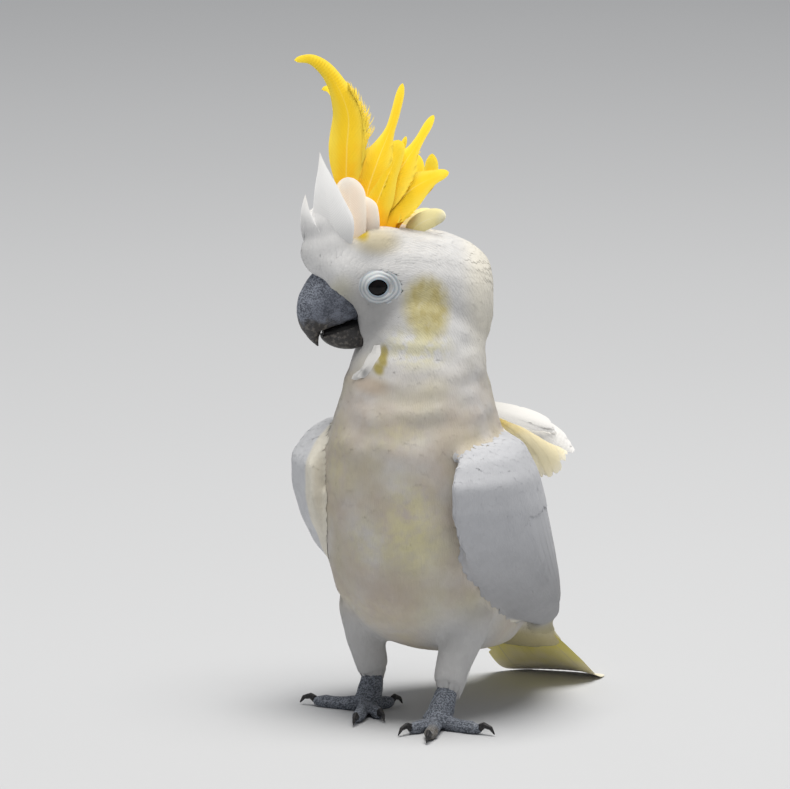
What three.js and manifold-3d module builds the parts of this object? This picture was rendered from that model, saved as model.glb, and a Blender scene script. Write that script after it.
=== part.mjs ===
// A life-size sulphur-crested cockatoo that stands upright on a flat floor, with its head turned to
// its right and its crest raised. Millimetres, +Z up. The bird faces -Y, and its left side is +X.
//
// Each part of the bird is its own closed mesh. Flesh and plumage are lofts: rings of points that
// follow a few named stations. Where two parts meet, one is cut by a slightly grown copy of the
// other, so that they lie face to face with a thin gap.

import * as THREE from "three";
import { mergeVertices } from "three/addons/utils/BufferGeometryUtils.js";
import Module from "manifold-3d";

const wasm = await Module();
wasm.setup();

// ---- Driving dimensions ---------------------------------------------------------------------

const GAP = 0.3; // between neighbouring parts
const LEFT = 1;
const RIGHT = -1;

const NECK_BASE_Z = 178; // where the neck is parted from the trunk
const JAW_Z = 212; // where the head is parted from the neck

const HEAD_CENTRE = new THREE.Vector3(-2, 30, 249);
const HEAD_TURN = THREE.MathUtils.degToRad(-43); // to the bird's right

const EYE_RADIUS = 7.2;
const EYE_AT = { f: 33, l: 19.4, z: 9.7 };

const CLAW_LENGTH = 11.5;
const CLAW_RADIUS = 2.2;

// Points round each ring, and steps along each loft.
const SIDES = {
  body: 19, head: 18, wing: 9, tail: 11, leg: 12, tarsus: 8, toe: 6, claw: 5, bill: 12, vane: 6, eye: 10,
};
const STEPS = {
  body: 14, head: 12, wing: 11, tail: 6, leg: 4, tarsus: 4, toe: 5, claw: 3, bill: 7, vane: 7, eye: 7,
};

// Trunk and neck: level rings. y is the middle of the width, front and back are measured from it.
const TRUNK = [
  { z: 34, y: 66, halfWidth: 12, front: 12, back: 22 },
  { z: 38, y: 60, halfWidth: 29, front: 33, back: 45 },
  { z: 46, y: 50, halfWidth: 38, front: 46, back: 60 },
  { z: 58, y: 39, halfWidth: 45, front: 53, back: 72 },
  { z: 76, y: 30, halfWidth: 51.5, front: 57, back: 78 },
  { z: 96, y: 25, halfWidth: 54.5, front: 57, back: 77 },
  { z: 120, y: 22, halfWidth: 55, front: 56, back: 71 },
  { z: 144, y: 19, halfWidth: 54, front: 53, back: 65 },
  { z: 166, y: 17, halfWidth: 51, front: 50, back: 57 },
  { z: 184, y: 17, halfWidth: 46, front: 45, back: 50 },
  { z: 199, y: 19, halfWidth: 42, front: 42, back: 43 },
  { z: 214, y: 23, halfWidth: 39.5, front: 40, back: 37 },
  { z: 229, y: 27, halfWidth: 35, front: 38, back: 33 },
  { z: 246, y: 28, halfWidth: 28, front: 33, back: 28 },
  { z: 262, y: 28, halfWidth: 16, front: 20, back: 16 },
];

// Head, in its own frame: f forwards, z up from the head's centre, rings across the head.
const HEAD = [
  { f: -39.5, z: 0, halfWidth: 7, halfHeight: 12 },
  { f: -36, z: -1, halfWidth: 20, halfHeight: 25 },
  { f: -25, z: -1, halfWidth: 28, halfHeight: 33 },
  { f: -10, z: 1, halfWidth: 31, halfHeight: 37 },
  { f: 6, z: 3, halfWidth: 30.5, halfHeight: 38 },
  { f: 20, z: 4, halfWidth: 28, halfHeight: 38.5 },
  { f: 33, z: 4, halfWidth: 24, halfHeight: 36 },
  { f: 43, z: 6, halfWidth: 18.5, halfHeight: 31 },
  { f: 52, z: 13, halfWidth: 15, halfHeight: 23 },
  { f: 61, z: 21, halfWidth: 11.5, halfHeight: 16 },
  { f: 69, z: 26.5, halfWidth: 7.5, halfHeight: 10 },
  { f: 73.5, z: 29, halfWidth: 2.5, halfHeight: 3.5 },
];
// Where the face's feathers end at the bill, as [f, z] points from the forehead to the chin.
const FACE_EDGE = [
  [80, 19.5], [65.4, 16.6], [58.5, 10.3], [51.3, 4.1], [45.6, -1.5],
  [41.7, -7], [40.4, -14], [41, -22], [42, -32],
];

// Rump and tail: rings square to a line that runs back and down. The last ring lies on the floor.
// skew: how much further back the left edge lies than the middle.
const TAIL = [
  { x: 0, y: 80, z: 64, halfWidth: 34, halfThick: 22, skew: 0 },
  { x: 0, y: 101, z: 49, halfWidth: 32, halfThick: 16, skew: 0 },
  { x: 0, y: 120, z: 34.5, halfWidth: 30, halfThick: 9.5, skew: 1 },
  { x: -0.5, y: 137, z: 21, halfWidth: 29, halfThick: 4.5, skew: 3 },
  { x: -1, y: 152, z: 10, halfWidth: 30, halfThick: 2.6, skew: 6 },
  { x: -1, y: 167, z: 0.9, halfWidth: 30, halfThick: 1.7, skew: 9 },
];
const RUMP_END = 0.5; // the share of the tail's line that belongs to the trunk
const TAIL_START = 0.3; // the tail's own solid starts this far along, inside the rump that cuts it
const TAIL_CROWN = 0.18; // how far its middle stands over its edges, as a share of its half thickness

// Left wing, folded: each ring runs from the front edge to the rear edge by an outer and an inner arc.
// roll: how far the leading edge is rounded inwards; tuck: how much further in it lies on the
// right, where the wing is blunter in front.
const WING = [
  { front: [44, 6, 168], rear: [36, 42, 171], bulge: 9, thickness: 7, roll: 1, tuck: 4 },
  { front: [50.5, -10, 163], rear: [28, 62, 168], bulge: 23, thickness: 13, roll: 4, tuck: 8 },
  { front: [55.5, -25, 145], rear: [22, 79, 146], bulge: 34, thickness: 16, roll: 8, tuck: 12 },
  { front: [54.5, -17, 117], rear: [16, 91, 118], bulge: 37, thickness: 14, roll: 9, tuck: 12 },
  { front: [53, 3, 91], rear: [11, 102, 92], bulge: 36, thickness: 12, roll: 8, tuck: 9 },
  { front: [50, 42, 64], rear: [8, 113, 69], bulge: 28, thickness: 9, roll: 5, tuck: 5 },
  { front: [38, 88, 46], rear: [4, 126, 53], bulge: 16, thickness: 5.5, roll: 2, tuck: 1 },
  { front: [17, 128, 38], rear: [2.5, 139, 43], bulge: 5, thickness: 2.5, roll: 0, tuck: 0 },
];
const ROLL_END = 0.5; // how far back the rounding reaches, as a share of the chord
const NOSE = { end: 0.4, fullness: 1.3 }; // how far back the tucked edge is blunt, and how blunt
const RIGHT_WING_LIFT = 5; // the right shoulder is held a little higher
const RIGHT_WING_SWING = 0.13; // and that wing hangs forwards, by this share of the drop below it

// Legs and feet: the foot's middle on the floor, and the line of the feathered leg above it.
const LEGS = {
  left: {
    foot: [33, -7],
    heel: [33.5, 2.5, 21],
    thigh: [[35, 20, 66], [35, 17.5, 55], [34, 12, 43], [33.6, 6.5, 32], [33.5, 3, 24.5]],
    girth: [15, 13, 11.2, 9.6, 8.2],
  },
  right: {
    foot: [-28.5, 9],
    heel: [-30.5, 18, 21],
    thigh: [[-33, 10, 68], [-34, 10, 56], [-32.5, 13, 43], [-31.3, 16.5, 32], [-30.8, 18.5, 23.5]],
    girth: [13, 11.4, 10.6, 9.8, 8.6],
  },
};
// Toes: heading in degrees from straight ahead towards the bird's left, and length without claw.
const TOES = {
  left: [
    { name: "hallux", heading: 196, length: 20 },
    { name: "inner", heading: -9, length: 23 },
    { name: "middle", heading: 27, length: 36 },
    { name: "outer", heading: 92, length: 30 },
  ],
  right: [
    { name: "hallux", heading: 166, length: 20 },
    { name: "inner", heading: 52, length: 25 },
    { name: "middle", heading: 25, length: 36 },
    { name: "outer", heading: -82, length: 35 },
  ],
};
const TARSUS_RADIUS = 6.6;
const TOE_RADIUS = 4.5;
const SOLE_DEPTH = 0.9; // how far each toe's round underside is cut away to make its flat sole

// Bill, in the head's frame. The upper mandible's rings fan round from the forehead to the hook.
const UPPER_BILL = [
  { ridge: [50, 26], edge: [34, -6], halfWidth: 11.5 },
  { ridge: [62, 19.5], edge: [42, -12], halfWidth: 12.4 },
  { ridge: [70, 11.5], edge: [48, -14.5], halfWidth: 12 },
  { ridge: [75, 2], edge: [53, -16], halfWidth: 10.8 },
  { ridge: [76.3, -7], edge: [57, -17.2], halfWidth: 9 },
  { ridge: [74.6, -15.5], edge: [60.5, -18.6], halfWidth: 6.6 },
  { ridge: [70.6, -21.6], edge: [62.8, -20.8], halfWidth: 4.2 },
  { ridge: [67, -25.6], edge: [63.4, -24.4], halfWidth: 2.2 },
  { ridge: [64.2, -28], edge: [63.3, -27.6], halfWidth: 0.7 },
];
const RIDGE_NARROWING = 0.22; // how much narrower the ridge is than the cutting edges
const LOWER_BILL = [
  { f: 33, top: -13, bottom: -26, halfWidth: 9.5 },
  { f: 40, top: -15, bottom: -29.4, halfWidth: 10.6 },
  { f: 48, top: -17.3, bottom: -30, halfWidth: 10.2 },
  { f: 55, top: -19.3, bottom: -28.4, halfWidth: 8.6 },
  { f: 59.5, top: -20.6, bottom: -25.8, halfWidth: 6.4 },
  { f: 61.8, top: -21.4, bottom: -23.4, halfWidth: 4.2 },
];

// Crest feathers of the left row, from the front. line: the shaft as [f, l, z] points in the head's
// frame. widths: across the vane from root to tip. turn: degrees its face is turned to the front.
const CREST = [
  {
    name: "crest_white_1",
    line: [[60, 4, 20], [69, 4.5, 36], [72.4, 4.5, 51], [71.8, 3.5, 62.5]],
    widths: [13, 16, 16, 14, 11, 7.5, 4, 0.8],
    turn: 42,
  },
  {
    name: "crest_white_2",
    line: [[48, 6, 24], [56, 8.5, 45], [60.5, 8, 66], [63.6, 5, 87.5]],
    widths: [20, 25, 26.5, 25.5, 22, 18, 14, 9, 4, 0.8],
    turn: 26,
  },
  {
    name: "crest_cream_1",
    line: [[42, 6, 30], [45.5, 9, 50], [48, 9.5, 71]],
    widths: [10, 13, 15, 16.5, 16.5, 14, 8],
    turn: 26,
  },
  {
    name: "crest_cream_2",
    line: [[33, 6, 32], [36, 10, 47], [36.5, 10.5, 62]],
    widths: [10, 14, 17, 18, 17, 14, 8],
    turn: 20,
  },
  {
    name: "crest_yellow_1",
    line: [
      [38, 2, 34], [45, 4, 62], [48.7, 5.5, 88], [48.2, 5, 110],
      [56.5, 3.5, 131], [68, 2.5, 141.5], [79, 2, 144.6],
    ],
    widths: [6, 11, 16, 20.5, 20.3, 15.5, 8.8, 5.6, 1.4],
    turn: 18,
  },
  {
    name: "crest_yellow_2",
    line: [[34, 4, 34], [36, 6, 59], [29.8, 7.5, 81], [20.8, 8, 104], [14.8, 8, 127]],
    widths: [7, 11, 15, 18, 19.5, 18.5, 11, 5.8, 5, 4.4, 2],
    turn: 17,
  },
  {
    name: "crest_yellow_3",
    line: [[29, 5, 34], [31, 7, 52], [20.8, 8.5, 70], [8, 9.5, 89], [-3.5, 9.5, 108]],
    widths: [7, 12, 16, 19, 20, 19, 16, 8, 5.2, 4.6, 2.2],
    turn: 17,
  },
  {
    name: "crest_yellow_4",
    line: [[24, 6, 34], [25, 8, 49], [12, 9.5, 63], [-1, 10, 70.5], [-12.5, 9.5, 74]],
    widths: [8, 13, 18, 21.5, 22, 20.5, 17, 12, 7, 4, 2],
    turn: 17,
  },
  {
    name: "crest_pale",
    line: [[12, 4, 34], [7, 7.5, 45], [-2, 9, 50], [-10, 8.5, 51]],
    widths: [6, 10, 13, 13.5, 12, 9, 4],
    turn: 10,
  },
];
// The right row stands a little shorter, and leans another way, so that its tips show.
const RIGHT_ROW = {
  crest_white_1: { scale: 0.94, shift: 0 },
  crest_white_2: { scale: 0.93, shift: -1 },
  crest_cream_1: { scale: 0.95, shift: -1 },
  crest_cream_2: { scale: 0.95, shift: -2 },
  crest_yellow_1: { scale: 0.83, shift: -10.5 },
  crest_yellow_2: { scale: 0.66, shift: -4 },
  crest_yellow_3: { scale: 0.8, shift: 6 },
  crest_yellow_4: { scale: 0.95, shift: 4 },
  crest_pale: { scale: 0.9, shift: 0 },
};
const VANE_THICKNESS = 1;
const VANE_CUP = 0.14; // how deep a vane is hollowed, as a share of its half width
const MID_GAP = 0.4; // between the left and the right row

// Loose scapular feathers that stand off the left shoulder, the upper ones first.
const SCAPULARS = [
  { name: "scapular_upper", line: [[27, 40, 190], [38, 56, 183], [47, 71, 174.5], [55, 88, 166]], width: 12 },
  { name: "scapular_middle", line: [[32, 56, 179], [43, 71, 173], [52, 84, 164], [60, 97, 153]], width: 10 },
  { name: "scapular_fan", line: [[30, 58, 176], [38, 72, 166], [44, 82, 153], [46, 88, 137]], width: 24 },
];
const SCAPULAR_THICKNESS = 1.6;
const SCAPULAR_ACROSS = new THREE.Vector3(-0.28, -0.375, -0.83); // the way their vanes lie across

// ---- Making solids --------------------------------------------------------------------------

/** Catmull-Rom value, at t from 0 to 1, of evenly spaced numbers. */
function smooth(values, t) {
  const x = t * (values.length - 1);
  const i = Math.min(Math.floor(x), values.length - 2);
  const s = x - i;
  const at = (k) => values[THREE.MathUtils.clamp(k, 0, values.length - 1)];
  const [a, b, c, d] = [at(i - 1), at(i), at(i + 1), at(i + 2)];
  const square = 2 * a - 5 * b + 4 * c - d;
  const cube = 3 * b - a - 3 * c + d;
  return 0.5 * (2 * b + (c - a) * s + square * s ** 2 + cube * s ** 3);
}

/** One station between the listed ones: every number, or array of numbers, is smoothed. */
function station(list, t) {
  const made = {};
  for (const key of Object.keys(list[0])) {
    made[key] = Array.isArray(list[0][key])
      ? list[0][key].map((_, k) => smooth(list.map((s) => s[key][k]), t))
      : smooth(list.map((s) => s[key]), t);
  }
  return made;
}

/** A closed solid through rings of points, each end shut by a fan. */
function loft(rings) {
  const count = rings[0].length;
  const points = rings.flat();
  const faces = [];
  for (let k = 0; k + 1 < rings.length; k++) {
    for (let i = 0; i < count; i++) {
      const j = (i + 1) % count;
      const [a, b, c, d] = [k * count + i, k * count + j, (k + 1) * count + j, (k + 1) * count + i];
      faces.push(a, b, c, a, c, d);
    }
  }
  for (const [start, turned] of [[0, true], [(rings.length - 1) * count, false]]) {
    const middle = points.length;
    const centre = new THREE.Vector3();
    for (let i = 0; i < count; i++) centre.addScaledVector(points[start + i], 1 / count);
    points.push(centre);
    for (let i = 0; i < count; i++) {
      const [a, b] = [start + i, start + ((i + 1) % count)];
      faces.push(...(turned ? [b, a, middle] : [a, b, middle]));
    }
  }
  const geometry = new THREE.BufferGeometry().setFromPoints(points);
  geometry.setIndex(faces);
  return solidOf(geometry);
}

/** A manifold solid from a closed three.js geometry, facing outwards. */
function solidOf(source) {
  const geometry = source.clone();
  geometry.deleteAttribute("normal");
  geometry.deleteAttribute("uv");
  const merged = mergeVertices(geometry, 1e-3);
  const vertProperties = new Float32Array(merged.attributes.position.array);
  const triVerts = new Uint32Array(merged.index.array);
  const solid = new wasm.Manifold(new wasm.Mesh({ numProp: 3, vertProperties, triVerts }));
  if (solid.volume() > 0) return solid;
  for (let i = 0; i < triVerts.length; i += 3) {
    [triVerts[i + 1], triVerts[i + 2]] = [triVerts[i + 2], triVerts[i + 1]];
  }
  return new wasm.Manifold(new wasm.Mesh({ numProp: 3, vertProperties, triVerts }));
}

/** The largest single body of a solid, so that crumbs left by a cut are dropped. */
function largest(solid) {
  return solid.decompose().reduce((best, body) => (body.volume() > best.volume() ? body : best));
}

/** A named mesh of a solid, flat shaded, in its material. */
function meshOf(name, solid, material) {
  const made = largest(solid).getMesh();
  const positions = new Float32Array(made.numVert * 3);
  for (let i = 0; i < made.numVert; i++) {
    positions.set(made.vertProperties.subarray(i * made.numProp, i * made.numProp + 3), i * 3);
  }
  const geometry = new THREE.BufferGeometry();
  geometry.setAttribute("position", new THREE.BufferAttribute(positions, 3));
  geometry.setIndex(new THREE.BufferAttribute(new Uint32Array(made.triVerts), 1));
  geometry.computeVertexNormals();
  const mesh = new THREE.Mesh(geometry, material);
  mesh.name = name;
  return mesh;
}

/** Joins several solids. */
const join = (solids) => solids.reduce((a, b) => a.add(b));

/** A box between two corners, for cutting. */
function block(low, high) {
  const size = high.map((v, i) => v - low[i]);
  const box = new THREE.BoxGeometry(...size);
  return solidOf(box.translate(...low.map((v, i) => v + size[i] / 2)));
}

/** Angles evenly round a ring, as [cosine, sine]. */
function circle(sides) {
  return Array.from({ length: sides }, (_, i) => {
    const angle = (i / sides) * 2 * Math.PI;
    return [Math.cos(angle), Math.sin(angle)];
  });
}

/** Shares 0, 1/steps, ... 1. */
const shares = (steps) => Array.from({ length: steps + 1 }, (_, i) => i / steps);

const TURN = new THREE.Matrix4().makeRotationZ(HEAD_TURN).setPosition(HEAD_CENTRE);

/** A point of the head's frame (f forwards, l to the bird's left, z up) in the bird's frame. */
const inHead = (f, l, z) => new THREE.Vector3(l, -f, z).applyMatrix4(TURN);

/** A tube along a smooth line. size(t) gives its half width and half thickness. side is the way its
 * width points, and cup hollows it. */
function ribbon(points, steps, sides, size, side, cup = 0) {
  const curve = new THREE.CatmullRomCurve3(points, false, "centripetal");
  const rings = shares(steps).map((t) => {
    const at = curve.getPointAt(t);
    const along = curve.getTangentAt(t);
    const face = new THREE.Vector3().crossVectors(side, along).normalize();
    const across = new THREE.Vector3().crossVectors(along, face).normalize();
    const [half, thick] = size(t);
    return circle(sides).map(([c, s]) =>
      at.clone().addScaledVector(across, half * c).addScaledVector(face, thick * s - cup * half * c * c));
  });
  return loft(rings);
}

// ---- Flesh and body plumage -----------------------------------------------------------------

function torso(grow = 0) {
  return loft(shares(STEPS.body).map((t) => {
    const s = station(TRUNK, t);
    return circle(SIDES.body).map(([c, n]) =>
      new THREE.Vector3((s.halfWidth + grow) * c, s.y + ((n > 0 ? s.back : s.front) + grow) * n, s.z));
  }));
}

function headForm(grow = 0) {
  return loft(shares(STEPS.head).map((t) => {
    const s = station(HEAD, t);
    return circle(SIDES.head).map(([c, n]) =>
      inHead(s.f, (s.halfWidth + grow) * c, s.z + (s.halfHeight + grow) * n));
  }));
}

/** Rump and tail between two shares of their line. */
function tailForm(from, to, grow = 0) {
  return loft(shares(STEPS.tail).map((share) => {
    const t = THREE.MathUtils.lerp(from, to, share);
    const s = station(TAIL, t);
    const ahead = station(TAIL, Math.min(1, t + 0.01));
    const behind = station(TAIL, Math.max(0, t - 0.01));
    const slope = Math.atan2(ahead.z - behind.z, ahead.y - behind.y);
    return circle(SIDES.tail).map(([c, n]) => {
      const rise = (s.halfThick + grow) * n + TAIL_CROWN * s.halfThick * (1 - c * c);
      const x = s.x + (s.halfWidth + grow) * c;
      return new THREE.Vector3(x, s.y + s.skew * c - Math.sin(slope) * rise, s.z + Math.cos(slope) * rise);
    });
  }));
}

/** Everything before and below the face's feather edge, where only the bill stands. */
function beforeFace() {
  const ahead = 150;
  const below = -38;
  const outline = [...FACE_EDGE, [FACE_EDGE.at(-1)[0], below], [ahead, below], [ahead, FACE_EDGE[0][1]]];
  const shape = new THREE.Shape(outline.map(([f, z]) => new THREE.Vector2(f, z)));
  const slab = new THREE.ExtrudeGeometry(shape, { depth: 2 * ahead, bevelEnabled: false });
  const place = slab.attributes.position;
  for (let i = 0; i < place.count; i++) {
    const at = inHead(place.getX(i), place.getZ(i) - ahead, place.getY(i));
    place.setXYZ(i, at.x, at.y, at.z);
  }
  return solidOf(slab);
}

function wingForm(side, grow = 0) {
  const outerBulge = (s) => 1 - Math.abs(2 * s - 1) ** 2.4;
  const innerBulge = (s) => 1 - (2 * s - 1) ** 2;
  const swelling = (s, end) => Math.sin(Math.PI * Math.min(1, s / end));
  const rings = shares(STEPS.wing).map((t) => {
    const s = station(WING, t);
    const front = new THREE.Vector3(...s.front);
    const tuck = side === RIGHT ? s.tuck : 0;
    front.x -= tuck;
    const chord = new THREE.Vector3(...s.rear).sub(front);
    const out = new THREE.Vector3(chord.y, -chord.x, 0).normalize();
    const edge = chord.clone().normalize().multiplyScalar(grow);
    const ring = [];
    for (const share of shares(SIDES.wing)) {
      const outer = s.bulge * outerBulge(share) + tuck * NOSE.fullness * swelling(share, NOSE.end) + grow;
      ring.push(front.clone().addScaledVector(chord, share).addScaledVector(edge, 2 * share - 1)
        .addScaledVector(out, outer));
    }
    for (const share of shares(SIDES.wing - 2).reverse()) {
      const inner = Math.max(0, s.bulge - s.thickness) * innerBulge(share)
        - s.roll * swelling(share, ROLL_END) - grow;
      const place = THREE.MathUtils.lerp(0.012, 0.988, share);
      ring.push(front.clone().addScaledVector(chord, place).addScaledVector(edge, 2 * share - 1)
        .addScaledVector(out, inner - 0.6));
    }
    if (side === LEFT) return ring;
    const top = WING[0].front[2];
    const lift = (RIGHT_WING_LIFT * s.front[2]) / top;
    const swing = RIGHT_WING_SWING * (top - s.front[2]);
    return ring.map((p) => new THREE.Vector3(-p.x, p.y - swing, p.z + lift));
  });
  if (!grow) return loft(rings);
  const moved = (ring, rise) => ring.map((p) => new THREE.Vector3(p.x, p.y, p.z + rise));
  return loft([moved(rings[0], grow), ...rings, moved(rings.at(-1), -grow)]);
}

function thighForm(leg, grow = 0) {
  const points = leg.thigh.map((p) => new THREE.Vector3(...p));
  const size = (t) => {
    const girth = smooth(leg.girth, t) + grow;
    return [girth, girth * 1.08];
  };
  return ribbon(points, STEPS.leg, SIDES.leg, size, new THREE.Vector3(1, 0, 0));
}

// ---- Feet -----------------------------------------------------------------------------------

/** The way a toe points on the floor. */
function heading(degrees) {
  const angle = THREE.MathUtils.degToRad(degrees);
  return new THREE.Vector3(Math.sin(angle), -Math.cos(angle), 0);
}

/** Height of a toe's middle line above the floor. */
const toeHeight = (t) => TOE_RADIUS * smooth([1.5, 1.1, 0.98, 0.94, 0.9], t) - SOLE_DEPTH;

function toeForm(leg, toe, grow = 0) {
  const way = heading(toe.heading);
  const start = new THREE.Vector3(leg.foot[0], leg.foot[1], 0);
  const points = shares(4).map((t) =>
    start.clone().addScaledVector(way, toe.length * t).setZ(toeHeight(t)));
  const joints = toe.length > 30 ? 3 : 2;
  const size = (t) => {
    const taper = TOE_RADIUS * (1.08 - 0.28 * t);
    const knuckle = 0.34 * Math.cos(2 * Math.PI * joints * t);
    const end = t > 0.94 ? 0.72 : 1;
    return [(taper - knuckle) * end + grow, (taper - knuckle) * end + grow];
  };
  return ribbon(points, STEPS.toe, SIDES.toe, size, new THREE.Vector3(-way.y, way.x, 0));
}

function tarsusForm(leg, grow = 0) {
  const [x, y, z] = leg.heel;
  const foot = new THREE.Vector3(leg.foot[0], leg.foot[1], 3.5);
  const heel = new THREE.Vector3(x, y, z);
  const top = heel.clone().add(new THREE.Vector3(0, 1.5, 6));
  const middle = foot.clone().lerp(heel, 0.5);
  const size = (t) => {
    const girth = TARSUS_RADIUS * smooth([1.45, 1.12, 1.05, 0.72], t) + grow;
    return [girth, girth];
  };
  return ribbon([foot, middle, heel, top], STEPS.tarsus, SIDES.tarsus, size, new THREE.Vector3(1, 0, 0));
}

function clawForm(leg, toe, grow = 0) {
  const way = heading(toe.heading);
  const end = new THREE.Vector3(leg.foot[0], leg.foot[1], 0).addScaledVector(way, toe.length - 1.5);
  const length = CLAW_LENGTH * (toe.name === "hallux" ? 0.8 : 1);
  const points = [[0, 3.6], [0.38, 5.9], [0.75, 4.6], [1, 0.9]].map(([reach, z]) =>
    end.clone().addScaledVector(way, length * reach).setZ(z));
  const size = (t) => {
    const girth = CLAW_RADIUS * (1 - t) ** 0.75 + 0.12 + grow;
    return [girth * 0.8, girth];
  };
  return ribbon(points, STEPS.claw, SIDES.claw, size, new THREE.Vector3(-way.y, way.x, 0));
}

// ---- Bill and eyes --------------------------------------------------------------------------

function upperBill(grow = 0) {
  return loft(shares(STEPS.bill).map((t) => {
    const s = station(UPPER_BILL, t);
    const middle = [(s.ridge[0] + s.edge[0]) / 2, (s.ridge[1] + s.edge[1]) / 2];
    const reach = [(s.ridge[0] - s.edge[0]) / 2, (s.ridge[1] - s.edge[1]) / 2];
    const longer = 1 + grow / Math.hypot(...reach);
    return circle(SIDES.bill).map(([c, n]) => {
      const half = (s.halfWidth + grow) * (n > 0 ? 1 - RIDGE_NARROWING * n : 1);
      const out = n * longer;
      return inHead(middle[0] + reach[0] * out, half * c, middle[1] + reach[1] * out);
    });
  }));
}

function lowerBill(grow = 0) {
  return loft(shares(STEPS.bill).map((t) => {
    const s = station(LOWER_BILL, t);
    const middle = (s.top + s.bottom) / 2;
    const half = (s.top - s.bottom) / 2 + grow;
    return circle(SIDES.bill).map(([c, n]) => inHead(s.f, (s.halfWidth + grow) * c, middle + half * n));
  }));
}

function eyeForm(side, grow = 0) {
  const ball = new THREE.SphereGeometry(EYE_RADIUS + grow, SIDES.eye, STEPS.eye);
  const at = inHead(EYE_AT.f, side * EYE_AT.l, EYE_AT.z);
  return solidOf(ball.translate(at.x, at.y, at.z));
}

// ---- Crest and loose feathers ---------------------------------------------------------------

function crestForm(feather, side, grow = 0) {
  const row = side === RIGHT ? RIGHT_ROW[feather.name] : { scale: 1, shift: 0 };
  const [f0, , z0] = feather.line[0];
  const points = feather.line.map(([f, l, z], k) => {
    const reach = k / (feather.line.length - 1);
    return inHead(f0 + (f - f0) * row.scale + row.shift * reach, side * l, z0 + (z - z0) * row.scale);
  });
  const turn = THREE.MathUtils.degToRad(feather.turn);
  // Across the vane: forwards in the side view, swung inwards as the face turns to the front.
  const across = inHead(Math.cos(turn), -side * Math.sin(turn), 0).sub(inHead(0, 0, 0));
  const size = (t) => [smooth(feather.widths, t) / 2 + grow, VANE_THICKNESS / 2 + grow];
  return ribbon(points, STEPS.vane, SIDES.vane, size, across, side * VANE_CUP);
}

function scapularForm(feather, grow = 0) {
  const points = feather.line.map((p) => new THREE.Vector3(...p));
  const size = (t) => [
    (feather.width / 2) * Math.sin(Math.PI * (0.2 + 0.74 * t)) + 0.3 + grow,
    (SCAPULAR_THICKNESS / 2) * (1 - 0.5 * t) + grow,
  ];
  return ribbon(points, STEPS.vane, SIDES.vane, size, SCAPULAR_ACROSS, VANE_CUP);
}

// ---- Materials ------------------------------------------------------------------------------

const finish = (color, roughness) => new THREE.MeshStandardMaterial({ color, roughness, metalness: 0 });
const plumage = finish("#efece4", 0.9);
const crestYellow = finish("#f5cf1d", 0.8);
const crestCream = finish("#f3e3cf", 0.85);
const tailPlumage = finish("#e9e2b4", 0.85);
const horn = finish("#3a3b40", 0.5);
const footSkin = finish("#55575f", 0.75);
const eyeBall = finish("#0b0a0c", 0.08);

// ---- Assembly -------------------------------------------------------------------------------

const bird = new THREE.Group();
const FAR = 600;

const rumpEnd = (grow) => RUMP_END + (grow ? 0.01 : 0);
const flesh = (grow) => join([torso(grow), headForm(grow), tailForm(0, rumpEnd(grow), grow)]);
const body = flesh(0);
const bodyGrown = flesh(GAP);
const floor = block([-FAR, -FAR, -FAR], [FAR, FAR, 0]);
const level = (low, high) => block([-FAR, -FAR, low], [FAR, FAR, high]);

const wings = { left: wingForm(LEFT), right: wingForm(RIGHT) };
const wingsGrown = wingForm(LEFT, 2 * GAP).add(wingForm(RIGHT, 2 * GAP));
const betweenWings = block([-GAP, -FAR, -FAR], [GAP, FAR, FAR]);

// The feathered body, parted at the neck's base, the jaw and the rump.
const bills = upperBill(GAP).add(lowerBill(GAP));
const eyesGrown = eyeForm(LEFT, GAP).add(eyeForm(RIGHT, GAP));
const feathered = body.subtract(bills).subtract(beforeFace()).subtract(eyesGrown).subtract(wingsGrown);
bird.add(meshOf("head", feathered.intersect(level(JAW_Z + GAP / 2, FAR)), plumage));
bird.add(meshOf("neck", feathered.intersect(level(NECK_BASE_Z + GAP / 2, JAW_Z - GAP / 2)), plumage));
bird.add(meshOf("trunk", feathered.intersect(level(-FAR, NECK_BASE_Z - GAP / 2)), plumage));
const tail = tailForm(TAIL_START, 1).subtract(bodyGrown).subtract(wingsGrown).subtract(floor);
bird.add(meshOf("tail", tail, tailPlumage));
bird.add(meshOf("wing_left", wings.left.subtract(betweenWings), plumage));
bird.add(meshOf("wing_right", wings.right.subtract(betweenWings), plumage));
let covered = bodyGrown.add(wingsGrown);
for (const feather of SCAPULARS) {
  bird.add(meshOf(feather.name, scapularForm(feather).subtract(covered), plumage));
  covered = covered.add(scapularForm(feather, GAP));
}

// Legs, feet and claws.
for (const [sideName, leg] of Object.entries(LEGS)) {
  const toes = TOES[sideName];
  const foot = (grow) => join([tarsusForm(leg, grow), ...toes.map((toe) => toeForm(leg, toe, grow))]);
  const footGrown = foot(GAP);
  const above = bodyGrown.add(wingsGrown).add(footGrown);
  bird.add(meshOf(`leg_${sideName}`, thighForm(leg).subtract(above), plumage));
  bird.add(meshOf(`foot_${sideName}`, foot(0).subtract(floor), footSkin));
  for (const toe of toes) {
    bird.add(meshOf(`claw_${sideName}_${toe.name}`, clawForm(leg, toe).subtract(footGrown), horn));
  }
}

// Bill and eyes.
bird.add(meshOf("bill_upper", upperBill(), horn));
bird.add(meshOf("bill_lower", lowerBill().subtract(upperBill(GAP)), horn));
bird.add(meshOf("eye_left", eyeForm(LEFT), eyeBall));
bird.add(meshOf("eye_right", eyeForm(RIGHT), eyeBall));

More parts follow.
